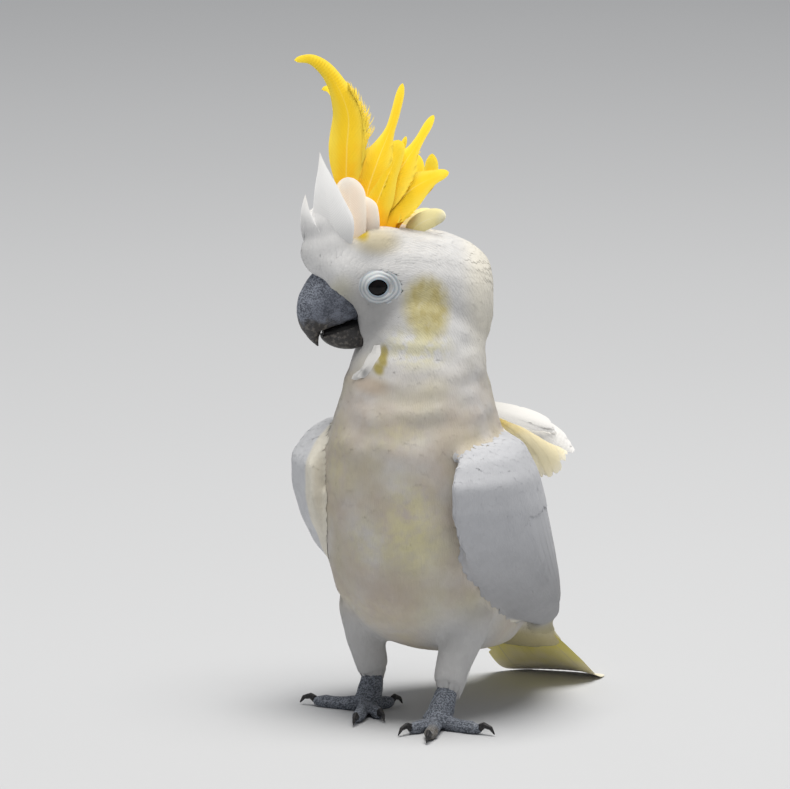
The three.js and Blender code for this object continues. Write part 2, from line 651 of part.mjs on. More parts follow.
// The crest: each row is built from the front, and each feather gives way to those before it.
const crestColour = (name) =>
  name.includes("yellow") ? crestYellow : name.includes("cream") ? crestCream : plumage;
for (const [sideName, side] of [["left", LEFT], ["right", RIGHT]]) {
  const half = solidOf(new THREE.BoxGeometry(FAR, 2 * FAR, 2 * FAR)
    .translate(side * (FAR + MID_GAP) / 2, 0, 0)
    .applyMatrix4(TURN));
  let taken = bodyGrown.add(bills);
  for (const feather of CREST) {
    const vane = crestForm(feather, side).intersect(half).subtract(taken);
    bird.add(meshOf(`${feather.name}_${sideName}`, vane, crestColour(feather.name)));
    taken = taken.add(crestForm(feather, side, GAP));
  }
}

// The part's origin is the middle of its box's floor.
const bounds = new THREE.Box3().setFromObject(bird);
const middle = bounds.getCenter(new THREE.Vector3());
bird.position.set(-middle.x, -middle.y, -bounds.min.z);

export default bird;
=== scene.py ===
"""A life-size sulphur-crested cockatoo, still, with its crest raised: its looks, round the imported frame.

Lengths are in millimetres and become metres where a mesh is made. The bird faces -Y, its left is +X
and up is +Z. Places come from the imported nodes: the eyes give the head's own frame, and the flesh
nodes give the surface that the skin and every feather follow.
"""

import logging
import math
from collections.abc import Iterator
from dataclasses import dataclass, field
from enum import Enum

import bpy
import numpy as np
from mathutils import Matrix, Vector, noise
from mathutils.bvhtree import BVHTree
from mathutils.kdtree import KDTree


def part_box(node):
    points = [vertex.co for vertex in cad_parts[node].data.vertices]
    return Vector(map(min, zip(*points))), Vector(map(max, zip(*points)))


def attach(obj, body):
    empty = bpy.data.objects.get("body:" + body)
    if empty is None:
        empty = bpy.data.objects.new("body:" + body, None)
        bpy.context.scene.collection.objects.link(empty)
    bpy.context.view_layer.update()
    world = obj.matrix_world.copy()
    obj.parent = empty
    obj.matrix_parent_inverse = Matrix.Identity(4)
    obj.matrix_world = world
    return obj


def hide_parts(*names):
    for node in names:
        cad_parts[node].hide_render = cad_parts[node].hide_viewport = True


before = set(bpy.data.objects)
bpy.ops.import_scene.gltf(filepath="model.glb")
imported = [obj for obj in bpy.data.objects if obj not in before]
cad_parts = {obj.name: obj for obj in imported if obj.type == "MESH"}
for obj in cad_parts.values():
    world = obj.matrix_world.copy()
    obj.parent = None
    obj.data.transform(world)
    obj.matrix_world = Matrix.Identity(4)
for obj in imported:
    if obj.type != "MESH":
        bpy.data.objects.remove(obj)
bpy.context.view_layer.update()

LOG = logging.getLogger("cockatoo")
MM = 0.001
PATCH = 0.003  # the side of one tuft's patch in the coat's UV map
UP = np.array([0.0, 0.0, 1.0])

Array = np.ndarray
Arrays = tuple[Array, Array]
Draws = np.random.Generator
Material = bpy.types.Material
Pair = tuple[float, float]
Socket = bpy.types.NodeSocket
Triple = tuple[float, float, float]


class Side(Enum):
    """The bird's own sides; the value is the sign of X."""

    LEFT = 1
    RIGHT = -1

    @property
    def word(self) -> str:
        """The side's name as the nodes write it."""
        return self.name.lower()


class Slot(Enum):
    """The record's material slots."""

    WHITE = "plumage_white"
    TAIL = "plumage_tail"
    YELLOW = "crest_yellow"
    CREAM = "crest_cream"
    BILL = "bill_horn"
    CLAW = "claw_horn"
    FOOT = "foot_skin"
    EYE = "eye"
    RING = "eye_ring"


# ---- Numbers ----


def unit(vectors: Array) -> Array:
    """Vectors made one long, along the last axis."""
    return vectors / np.maximum(np.linalg.norm(vectors, axis=-1, keepdims=True), 1e-9)


def step(values: Array, low: float, high: float) -> Array:
    """A smooth rise from 0 at low to 1 at high."""
    share = np.clip((np.asarray(values, float) - low) / (high - low), 0, 1)
    return share * share * (3 - 2 * share)


def spline(rows: Array | tuple, shares: Array) -> Array:
    """Catmull-Rom values of evenly spaced rows.

    Args:
        rows: A number or a row of numbers for each station.
        shares: Places from 0 to 1, in any shape.

    Returns:
        A number or a row for each share.
    """
    rows = np.asarray(rows, float)
    x = np.clip(shares, 0, 1) * (len(rows) - 1)
    i = np.minimum(x.astype(int), len(rows) - 2)
    s = (x - i).reshape(x.shape + (1,) * (rows.ndim - 1))
    a, b, c, d = (rows[np.clip(i + k, 0, len(rows) - 1)] for k in (-1, 0, 1, 2))
    square = 2 * a - 5 * b + 4 * c - d
    cube = 3 * b - a - 3 * c + d
    return 0.5 * (2 * b + (c - a) * s + square * s**2 + cube * s**3)


def circle(count: int) -> Array:
    """Angles all the way round, evenly spaced."""
    return np.linspace(0, 2 * np.pi, count, endpoint=False)


def across_of(ways: Array, normals: Array) -> Array:
    """The sideways direction of a feather that runs along ways over a surface."""
    return unit(np.cross(normals, ways))


def flattened(ways: Array, normals: Array) -> Array:
    """Ways laid down into the surface that the normals stand on."""
    return unit(ways - normals * (ways * normals).sum(-1, keepdims=True))


def lumps(points: Array, size: Triple, seed: float) -> Array:
    """Soft noise from -1 to 1 at each point, with lumps of a size along X, Y and Z."""
    scaled = points / np.array(size) + seed
    return np.array([noise.noise(p) for p in scaled.tolist()])


# ---- Places ----


@dataclass(frozen=True)
class Places:
    """Where the head and the body are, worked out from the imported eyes.

    Attributes:
        head: The head's centre.
        ahead: The way the head faces.
        left: The head's left.
        shift: From the body's own origin, between the feet, to the row's.
    """

    head: Array
    ahead: Array
    left: Array
    shift: Array

    EYE_AHEAD = 33.0
    EYE_SIDE = 19.4
    EYE_UP = 9.7
    HEAD_IN_BODY = (-2.0, 30.0, 249.0)

    @classmethod
    def from_frame(cls) -> "Places":
        """Reads the two eyes' boxes."""
        middles = [np.array(sum(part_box(f"eye_{side.word}"), Vector()) / 2) / MM for side in Side]
        left = unit(middles[0] - middles[1])
        ahead = np.cross(left, UP)
        head = (middles[0] + middles[1]) / 2 - cls.EYE_AHEAD * ahead - cls.EYE_UP * UP
        return cls(head, ahead, left, head - np.array(cls.HEAD_IN_BODY))

    @property
    def turn(self) -> float:
        """The head's angle about Z."""
        return math.atan2(self.left[1], self.left[0])

    def at(self, f: Array, l: Array, z: Array) -> Array:
        """A place from its distance ahead of, left of and above the head's centre."""
        parts = (np.asarray(v, float)[..., None] for v in np.broadcast_arrays(f, l, z))
        ahead, left, above = parts
        return self.head + ahead * self.ahead + left * self.left + above * UP

    def in_head(self, points: Array) -> Array:
        """How far points lie ahead of, left of and above the head's centre."""
        away = points - self.head
        return np.stack([away @ self.ahead, away @ self.left, away @ UP], -1)

    def in_body(self, *point: float) -> Array:
        """A place given from the body's own origin."""
        return np.array(point, float) + self.shift


PLACES = Places.from_frame()


# ---- Shaders ----


def tint(code: str) -> tuple[float, float, float, float]:
    """A linear colour from its six-digit code."""
    parts = [int(code[i : i + 2], 16) / 255 for i in (1, 3, 5)]
    return (*(v / 12.92 if v <= 0.04045 else ((v + 0.055) / 1.055) ** 2.4 for v in parts), 1.0)


@dataclass(frozen=True)
class Value:
    """A number that varies over a surface, and takes part in sums."""

    graph: "Graph"
    socket: Socket

    def __add__(self, other: "Value | float") -> "Value":
        """The sum."""
        return self.graph.math("ADD", self, other)

    def __radd__(self, other: float) -> "Value":
        """The sum, from the right."""
        return self.graph.math("ADD", other, self)

    def __sub__(self, other: "Value | float") -> "Value":
        """The difference."""
        return self.graph.math("SUBTRACT", self, other)

    def __rsub__(self, other: float) -> "Value":
        """The difference, from the right."""
        return self.graph.math("SUBTRACT", other, self)

    def __mul__(self, other: "Value | float") -> "Value":
        """The product."""
        return self.graph.math("MULTIPLY", self, other)

    def __rmul__(self, other: float) -> "Value":
        """The product, from the right."""
        return self.graph.math("MULTIPLY", other, self)

    def __abs__(self) -> "Value":
        """The size without its sign."""
        return self.graph.math("ABSOLUTE", self)

    def wave(self) -> "Value":
        """Its sine."""
        return self.graph.math("SINE", self)


class Graph:
    """The node tree of one material."""

    def __init__(self, name: str, **constants: float | tuple) -> None:
        """Starts a material.

        Args:
            name: The material's name.
            constants: Values of the shader that are the same all over, with _ for a space.
        """
        self.material = bpy.data.materials.new(name)
        self.material.use_nodes = True
        self.tree = self.material.node_tree
        self.shader = self.tree.nodes["Principled BSDF"]
        for key, value in constants.items():
            self.shader.inputs[key.replace("_", " ").title().replace("Ior", "IOR")].default_value = value
        self.place = self.node("ShaderNodeTexCoord").outputs["Object"]
        self.colour: object = "#808080"

    def node(self, kind: str, settings: dict | None = None, inputs: dict | None = None) -> bpy.types.Node:
        """Adds a node.

        Args:
            kind: The node's type.
            settings: Its own options, set first.
            inputs: A value or a link for each input, by name or number.

        Returns:
            The node.
        """
        made = self.tree.nodes.new(kind)
        for key, value in (settings or {}).items():
            setattr(made, key, value)
        for key, value in (inputs or {}).items():
            self.feed(made.inputs[key], value)
        return made

    def feed(self, socket: Socket, value: object) -> None:
        """Links or sets one input."""
        source = value.socket if isinstance(value, Value) else value
        source = tint(source) if isinstance(source, str) else source
        if isinstance(source, Socket):
            self.tree.links.new(source, socket)
        else:
            socket.default_value = source

    def math(self, operation: str, *terms: "Value | float") -> Value:
        """One sum of values."""
        made = self.node("ShaderNodeMath", {"operation": operation}, dict(enumerate(terms)))
        return Value(self, made.outputs[0])

    def attribute(self, name: str) -> Value:
        """A number that each mesh carries at its points."""
        return Value(self, self.node("ShaderNodeAttribute", {"attribute_name": name}).outputs["Fac"])

    def texture(self, place: Socket, scale: float, detail: float) -> Value:
        """Noise from 0 to 1, read at a place."""
        inputs = {"Vector": place, "Scale": scale, "Detail": detail}
        return Value(self, self.node("ShaderNodeTexNoise", None, inputs).outputs[0])

    def noise(self, size: float, detail: float = 2, stretch: Triple = (1, 1, 1), shift: float = 0) -> Value:
        """Noise with lumps of a size in millimetres, denser by stretch and moved by shift."""
        inputs = {0: self.place, 1: (shift,) * 3, 3: stretch}
        moved = self.node("ShaderNodeMapping", {"vector_type": "POINT"}, inputs)
        return self.texture(moved.outputs[0], 1 / (size * MM), detail)

    def streaks(self, run: Value, over: Value) -> Value:
        """Noise from 0 to 1 in streaks that cross one number and follow another."""
        place = self.node("ShaderNodeCombineXYZ", None, {0: run, 1: over})
        return self.texture(place.outputs[0], 1.0, 2.0)

    def cells(self, size: float) -> Value:
        """The distance from the middles of scattered cells of a size in millimetres."""
        inputs = {"Vector": self.place, "Scale": 1 / (size * MM)}
        return Value(self, self.node("ShaderNodeTexVoronoi", None, inputs).outputs["Distance"])

    def rise(self, value: Value, low: float, high: float) -> Value:
        """A smooth rise from 0 at low to 1 at high, or a fall where low is the higher."""
        inputs = {0: value, 1: low, 2: high, 3: 0.0, 4: 1.0}
        made = self.node("ShaderNodeMapRange", {"interpolation_type": "SMOOTHSTEP"}, inputs)
        return Value(self, made.outputs[0])

    def coordinate(self, axis: int) -> Value:
        """X, Y or Z of the place, in millimetres."""
        made = self.node("ShaderNodeSeparateXYZ", None, {0: self.place})
        return Value(self, made.outputs[axis]) * (1 / MM)

    def blob(self, centre: Array, radii: Triple, turn: float, soft: float = 0.5) -> Value:
        """A soft ellipsoid, 1 inside and 0 outside.

        Args:
            centre: Its middle.
            radii: Its half sizes, before the turn.
            turn: Its angle about Z.
            soft: The share of the radius over which it fades.

        Returns:
            The mask.
        """
        sizes = tuple(r * MM for r in radii)
        inputs = {0: self.place, 1: tuple(np.asarray(centre) * MM), 2: (0, 0, turn), 3: sizes}
        moved = self.node("ShaderNodeMapping", {"vector_type": "TEXTURE"}, inputs)
        length = self.node("ShaderNodeVectorMath", {"operation": "LENGTH"}, {0: moved.outputs[0]})
        return self.rise(Value(self, length.outputs["Value"]), 1 + soft / 2, 1 - soft / 2)

    def on_head(self, f: float, z: float, half: Pair, soft: float = 0.5) -> Value:
        """The same ellipse on both sides of the head."""
        return self.blob(PLACES.at(f, 0, z), (90, half[0], half[1]), PLACES.turn, soft)

    def blend(self, first: object, second: object, mask: Value | float) -> Socket:
        """A colour between two colours."""
        made = self.node("ShaderNodeMix", {"data_type": "RGBA"}, {0: mask, 6: first, 7: second})
        return made.outputs[2]

    def lay(self, colour: object, mask: Value | float) -> None:
        """Lays a colour over the one so far."""
        self.colour = self.blend(self.colour, colour, mask)

    def shade(self, mask: Value) -> None:
        """Multiplies the colour so far by a grey mask."""
        settings = {"data_type": "RGBA", "blend_type": "MULTIPLY"}
        made = self.node("ShaderNodeMix", settings, {0: 1.0, 6: self.colour, 7: mask})
        self.colour = made.outputs[2]

    def finish(self, roughness: object, height: Value | None = None, depth: float = 0.1) -> Material:
        """Feeds the shader its colour, and the rest.

        Args:
            roughness: A number or a value.
            height: A relief from 0 to 1, if there is one.
            depth: The relief's depth in millimetres.

        Returns:
            The material.
        """
        self.feed(self.shader.inputs["Base Color"], self.colour)
        self.feed(self.shader.inputs["Roughness"], roughness)
        if height is not None:
            bump = self.node("ShaderNodeBump", None, {"Distance": depth * MM, "Height": height})
            self.feed(self.shader.inputs["Normal"], bump.outputs[0])
        return self.material


@dataclass(frozen=True)
class Plumage:
    """The body's white coat with its stains, for the skin and the small feathers alike; some of its colours
    are painted light and shade: a lighter crown, brow and far wing, and a darker face, lower wing, olive
    spots, shadow under the cheek's curl and lower body.

    Attributes:
        name: The material's name; every other one is a colour, named after its place.
    """

    name: str = "body_plumage"
    white: str = "#d8d7d6"
    crown: str = "#dad9d8"
    pink: str = "#bfaf9e"
    straw: str = "#c5bd9e"
    yellow: str = "#dad3a2"
    ear: str = "#c8be8f"
    ear_deep: str = "#b6a76b"
    olive: str = "#a99838"
    nape: str = "#eee8d8"
    vent: str = "#cabc7e"
    wing: str = "#c6c7cb"
    low_wing: str = "#a6a6a8"
    far_wing: str = "#d8d9dc"
    leg: str = "#c8c7c6"
    brow: str = "#ebeae9"
    face: str = "#adacab"
    shade: str = "#b19b81"
    crest: str = "#e1c236"

    def material(self) -> Material:
        """Builds the finish."""
        g = Graph(self.name, Specular_IOR_Level=0.2, Sheen_Weight=0.1, Sheen_Roughness=0.6)
        z = g.coordinate(2)
        cloud = g.noise(26, 3)
        fine = g.noise(6, 3, shift=3.0)
        # The crown's colour is a touch lighter than the white: painted light on the top of the head.
        g.colour = g.blend(self.white, self.crown, g.rise(z, 248, 272))
        ahead = g.rise(g.coordinate(1), 40, 0) * 0.75 + 0.25
        # Pink and straw stains on the lower body and front, their colours also darkened to paint the shade
        # that falls lower down.
        soiled_and_shaded = g.rise(z, 226, 186) * g.rise(cloud, 0.05, 0.8) * ahead
        g.lay(self.pink, soiled_and_shaded * 0.85)
        patches = g.rise(g.noise(30, 3, (1, 1, 0.8), 7.0), 0.36, 0.74) * g.rise(z, 232, 200)
        g.lay(self.straw, patches * 0.6)
        for point, radii, strength in (
            ((25, -24, 124), (13, 24, 24), 0.6),
            ((2, -30, 112), (18, 22, 16), 0.35),
            ((-26, -28, 158), (14, 22, 20), 0.4),
            ((14, -20, 176), (16, 26, 8), 0.4),
            ((30, -14, 120), (10, 22, 22), 0.45),
            ((0, 20, 70), (40, 40, 16), 0.4),
        ):
            mask = g.blob(PLACES.in_body(*point), radii, 0, 1.5) * g.rise(fine, 0.2, 0.7)
            g.lay(self.yellow, mask * strength)
        lining = g.rise(abs(g.coordinate(0)), 49, 45) * g.rise(g.coordinate(1), 8, -8)
        # The wing's colour darkens towards the bottom, painted shade, and is lighter on the far (right) wing,
        # painted light; the cream lining is the wings' own colour.
        wing = g.blend(self.wing, self.low_wing, g.rise(z, 130, 60))
        wing = g.blend(wing, self.far_wing, g.rise(g.coordinate(0), 10, -10))
        wing = g.blend(wing, self.nape, lining * 0.9)
        g.lay(wing, g.attribute("scale"))
        vent = g.blob(PLACES.in_body(0, 118, 26), (42, 50, 24), 0, 0.9)
        g.lay(self.vent, vent * 0.8)
        # Painted light: the upper forehead a lighter white.
        brow = g.on_head(64, 42, (22, 32), 0.9)
        g.lay(self.brow, brow * g.rise(z, 236, 262))
        nape = g.on_head(-36, 4, (17, 40), 0.9)
        g.lay(self.nape, nape * 0.8)
        lores = g.on_head(52, -2, (8, 15), 1.0)
        g.lay(self.yellow, lores * 0.5)
        g.lay(self.crest, g.on_head(40, 41, (3.6, 5), 1.0))
        g.lay(self.crest, g.on_head(32, 36, (12, 7), 1.2) * 0.35)
        ear = g.on_head(5.5, -2.5, (14, 18.5), 0.6) * g.rise(fine + cloud * 0.8, 0.4, 0.95)
        g.lay(self.ear, ear)
        flecks = g.rise(g.noise(4, 3, (1, 1, 0.5), 6.0), 0.4, 0.7)
        g.lay(self.ear_deep, ear * flecks * 0.6)
        under = g.on_head(12, -24, (18, 12), 1.0) * g.rise(fine, 0.35, 0.6)
        g.lay(self.yellow, under * 0.6)
        # Olive spots along the cheek curl's edge: yellow stain darkened to paint the shade under the curl.
        for place in ((30.5, -27, (2, 3.8)), (32, -32, (2.3, 4)), (34.4, -37, (2.6, 3.6))):
            yellow_and_shade = g.on_head(*place, 0.9) * g.rise(fine, 0.05, 0.35)
            g.lay(self.olive, yellow_and_shade * 0.85)
        # Painted shade: the face a darker grey than the rest of the white head.
        g.lay(self.face, g.on_head(38, -4, (18, 19), 1.1) * 0.85)
        # Painted shadow under the cheek's curl.
        g.lay(self.shade, g.on_head(38, -47, (9, 5), 1.1) * 0.6)
        for side in Side:
            low, high = (np.array(corner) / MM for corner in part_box(f"leg_{side.word}"))
            leg = g.blob((low + high) / 2 - (0, 0, 6), tuple((high - low) * (0.85, 0.95, 0.68)), 0, 0.9)
            g.lay(self.leg, leg)
        tone = g.attribute("tone")
        g.shade(0.92 + tone * 0.08 + (fine - 0.5) * 0.04)
        barbs = g.noise(0.5, 1, (1, 1, 0.3), 2.0)
        return g.finish(0.9, barbs, 0.03)


@dataclass(frozen=True)
class Vaned:
    """A large feather: vane, barbs and a paler shaft, coloured from its root to its tip.

    Attributes:
        name: The material's name.
        root: The colours of the root, the middle, the tip, the shaft, and, where they differ,
            the edge, the lower face and that face's tip.
        turns: Where along it the root's and the tip's colours turn into the middle's.
        shaft_share: How strongly the shaft's colour shows.
        shaft_width: Its half width, as a share of the feather's.
        streaked: How much darker the streaks between the barbs are.
        low: A darker colour towards the bottom, near the bird's legs, that paints shade there, if the feather
            reaches so far.
    """

    name: str
    root: str
    middle: str
    tip: str
    shaft: str
    edge: str = ""
    under: str = ""
    under_tip: str = ""
    turns: Pair = (0.25, 0.9)
    shaft_share: float = 0.6
    shaft_width: float = 0.035
    streaked: float = 0.05
    low: str = ""

    def material(self) -> Material:
        """Builds the finish."""
        g = Graph(self.name, Specular_IOR_Level=0.25, Sheen_Weight=0.08, Sheen_Roughness=0.5)
        along = g.attribute("along")
        across = g.attribute("across")
        cloud = g.noise(9, 3)
        uneven = (cloud - 0.5) * 0.35
        g.colour = g.blend(self.root, self.middle, g.rise(along + uneven, 0, self.turns[0] * 2))
        edge = g.rise(abs(across) + uneven, 0.3, 1.0) * g.rise(along, 0.1, 0.5)
        g.lay(self.edge or self.middle, edge)
        g.lay(self.tip, g.rise(along + uneven, self.turns[1] - 0.15, 1.05))
        # Painted shade: darker towards the bottom of the bird.
        if self.low:
            g.lay(self.low, g.rise(g.coordinate(2), 130, 60))
        if self.under:
            end = self.under_tip or self.under
            below = g.blend(self.under, end, g.rise(along + uneven, 0.35, 0.95))
            g.lay(below, g.attribute("scale") * 0.85)
        g.shade(0.95 + g.attribute("tone") * 0.05)
        barbs = ((along * 300 - abs(across) * 30) + cloud * 3.0).wave()
        streaks = g.streaks(along * 70 - abs(across) * 9, across * 1.5)
        g.shade(0.985 + barbs * 0.01 - g.rise(streaks, 0.5, 0.8) * self.streaked)
        shaft = g.rise(abs(across), self.shaft_width * 1.8, self.shaft_width * 0.5) * g.rise(along, 0.92, 0.5)
        g.lay(self.shaft, shaft * self.shaft_share)
        return g.finish(0.82, barbs * 0.5 + 0.5, 0.02)


@dataclass(frozen=True)
class BillHorn:
    """Slate-grey horn: powdery and scuffed above, with a painted highlight along the upper mandible's ridge,
    worn to dark brown below.
    """

    name: str = "bill_horn"
    slate: str = "#7b808c"
    powder: str = "#adb3be"
    worn: str = "#34302c"
    spots: str = "#69645d"
    dark: str = "#494d57"
    edge: float = -12.0

    def material(self) -> Material:
        """Builds the finish."""
        g = Graph(self.name, Specular_IOR_Level=0.4)
        grain = g.noise(0.9, 4)
        cloud = g.noise(7, 4, shift=5.0)
        pits = g.cells(1.3)
        g.colour = g.blend(self.dark, self.slate, g.rise(cloud + grain, 0.75, 1.2))
        # Pale powder along the ridge, which also paints the ridge's highlight.
        ridge = g.rise(g.attribute("along"), 0.5, 1.0)
        g.lay(self.powder, ridge * g.rise(grain, 0.35, 0.7) * 0.75)
        edge = PLACES.head[2] + self.edge
        below = g.rise(g.coordinate(2) + cloud * 12 + grain * 3, edge + 11, edge + 4)
        worn = g.blend(self.worn, self.spots, g.rise(g.noise(2.2, 4, shift=2.0), 0.48, 0.66))
        g.lay(worn, below * 0.9)
        specks = g.rise(pits, 0.22, 0.1) * g.rise(g.noise(4, 2, shift=9.0), 0.5, 0.7)
        g.lay(self.powder, specks * 0.5)
        height = grain * 0.6 + cloud * 0.4
        # Near-black mouth lining: its own dark colour and painted shade in the gap between the mandibles.
        g.lay("#0d0b0b", g.attribute("scale"))
        return g.finish(0.62 - below * 0.14 + grain * 0.1, height, 0.22)


@dataclass(frozen=True)
class ClawHorn:
    """Dark horn with fine lines along it."""

    name: str = "claw_horn"

    def material(self) -> Material:
        """Builds the finish."""
        g = Graph(self.name, Specular_IOR_Level=0.45)
        grain = g.noise(1.4, 4)
        g.colour = g.blend("#1d1c1e", "#4a4746", g.rise(grain, 0.45, 0.8))
        return g.finish(0.42 + grain * 0.2, grain, 0.08)


@dataclass(frozen=True)
class FootSkin:
    """Slate-grey scaly skin with pale dust between and on the scales."""

    name: str = "foot_skin"

    def material(self) -> Material:
        """Builds the finish."""
        g = Graph(self.name, Specular_IOR_Level=0.3)
        grain = g.noise(0.7, 3)
        cloud = g.noise(9, 3, shift=4.0)
        scale = g.attribute("scale")
        g.colour = g.blend("#4c5159", "#8e939d", g.rise(scale * 0.7 + grain * 0.8, 0.35, 1.2))
        g.lay("#b5b8bd", g.rise(grain * 0.6 + cloud * 0.6, 0.66, 0.92) * 0.6)
        mud = g.blob(PLACES.in_body(46, -33, 2), (10, 10, 6), 0, 1.0)
        g.lay("#6c5f43", mud * 0.5)
        return g.finish(0.74, grain, 0.1)


@dataclass(frozen=True)
class EyeBall:
    """A wet, nearly black eye: dark brown iris round a black pupil."""

    name: str = "eye_ball"

    def material(self) -> Material:
        """Builds the finish."""
        g = Graph(self.name, Specular_IOR_Level=0.16, Coat_Weight=0.1, Coat_Roughness=0.04)
        ring = g.attribute("along")
        streak = g.noise(0.5, 3)
        iris = g.rise(ring, 0.2, 0.24) * g.rise(ring, 0.6, 0.45)
        g.colour = g.blend("#040406", "#120d0c", iris * (0.5 + streak * 0.5))
        return g.finish(0.12 + streak * 0.05)


@dataclass(frozen=True)
class RingSkin:
    """Pale bluish bare skin in rings round the eye, painted lighter on the folds' crests and darker in the
    grooves between them.
    """

    name: str = "eye_ring_skin"

    def material(self) -> Material:
        """Builds the finish."""
        g = Graph(self.name, Specular_IOR_Level=0.35, Subsurface_Weight=0.08, Subsurface_Scale=0.001)
        fold = g.attribute("scale")
        out = g.attribute("along")
        grain = g.noise(0.5, 3)
        # Painted highlight on each fold's crest and painted shade in the grooves; the bluish inner rim is the
        # skin's own colour.
        g.colour = g.blend("#adb3b8", "#cbcfd1", g.rise(fold + (grain - 0.5) * 0.3, 0.05, 0.75))
        g.colour = g.blend("#a0b1bd", g.colour, g.rise(out, 0.04, 0.16))
        return g.finish(0.55, grain, 0.06)


# ---- Meshes ----


def vertex_normals(points: Array, faces: Array) -> Array:
    """The mean direction of the triangles round each point."""
    corners = points[faces]
    facing = np.cross(corners[:, 1] - corners[:, 0], corners[:, 2] - corners[:, 0])
    total = np.zeros_like(points)
    for k in range(3):
        for axis in range(3):
            total[:, axis] += np.bincount(faces[:, k], facing[:, axis], len(points))
    return unit(total)


@dataclass
class Soup:
    """A mesh in the making: points with their normals, map places and the numbers that finishes read."""

    points: list = field(default_factory=list)
    faces: list = field(default_factory=list)
    normals: list = field(default_factory=list)
    places: list = field(default_factory=list)
    turned: list = field(default_factory=list)
    lean: list = field(default_factory=list)
    numbers: dict = field(default_factory=lambda: {"along": [], "across": [], "tone": [], "scale": []})
    count: int = 0

    def add(
        self, points: Array, faces: Array, normals: Array | None = None, places: Array | None = None,
        under: Array | None = None, lit: float = 0, **numbers: Array | float,
    ) -> "Soup":  # fmt: skip
        """Adds a closed piece.

        Args:
            points: Its points.
            faces: Its triangles.
            normals: A normal for each point; worked out if there is none.
            places: A place in the UV map for each point.
            under: Whether each triangle is an underside, which faces away from its points' normals.
            lit: How far its normals lean up, as light from above comes through a thin vane.
            numbers: along, across, tone and scale, for each point or for all.

        Returns:
            The mesh in the making.
        """
        self.points.append(points)
        self.faces.append(faces + self.count)
        self.normals.append(vertex_normals(points, faces) if normals is None else normals)
        self.places.append(np.zeros((len(points), 2)) + 0.5 if places is None else places)
        self.turned.append(np.zeros(len(faces), bool) if under is None else under)
        self.lean.append(np.full(len(faces), lit))
        for key, rows in self.numbers.items():
            rows.append(np.broadcast_to(np.asarray(numbers.get(key, 0.5), float), (len(points),)))
        self.count += len(points)
        return self

    def build(self, name: str, material: Material, slot: Slot, nodes: tuple[str, ...]) -> None:
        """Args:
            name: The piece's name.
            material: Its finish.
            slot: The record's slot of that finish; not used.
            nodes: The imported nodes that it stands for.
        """
        points = np.concatenate(self.points)
        faces = np.concatenate(self.faces)
        mesh = bpy.data.meshes.new(name)
        mesh.vertices.add(len(points))
        mesh.vertices.foreach_set("co", (points * MM).astype(np.float32).ravel())
        mesh.loops.add(faces.size)
        mesh.loops.foreach_set("vertex_index", faces.astype(np.int32).ravel())
        mesh.polygons.add(len(faces))
        mesh.polygons.foreach_set("loop_start", np.arange(0, faces.size, 3, dtype=np.int32))
        mesh.update(calc_edges=True)
        places = np.concatenate(self.places)[faces.ravel()]
        mesh.uv_layers.new(name="OFBake").data.foreach_set("uv", places.astype(np.float32).ravel())
        for key, rows in self.numbers.items():
            attribute = mesh.attributes.new(key, "FLOAT", "POINT")
            attribute.data.foreach_set("value", np.concatenate(rows).astype(np.float32))
        turned = np.where(np.repeat(np.concatenate(self.turned), 3), -1, 1)[:, None]
        lean = np.repeat(np.concatenate(self.lean), 3)[:, None] * UP
        normals = unit(np.concatenate(self.normals))[faces.ravel()] * turned
        mesh.normals_split_custom_set(unit(normals + lean).tolist())
        mesh.materials.append(material)
        made = placed(name, mesh)
        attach(made, "root")
        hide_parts(*nodes)
        LOG.info("%s: %d triangles", name, len(faces))


def placed(name: str, data: bpy.types.ID) -> bpy.types.Object:
    """A new object in the scene."""
    made = bpy.data.objects.new(name, data)
    bpy.context.scene.collection.objects.link(made)
    return made


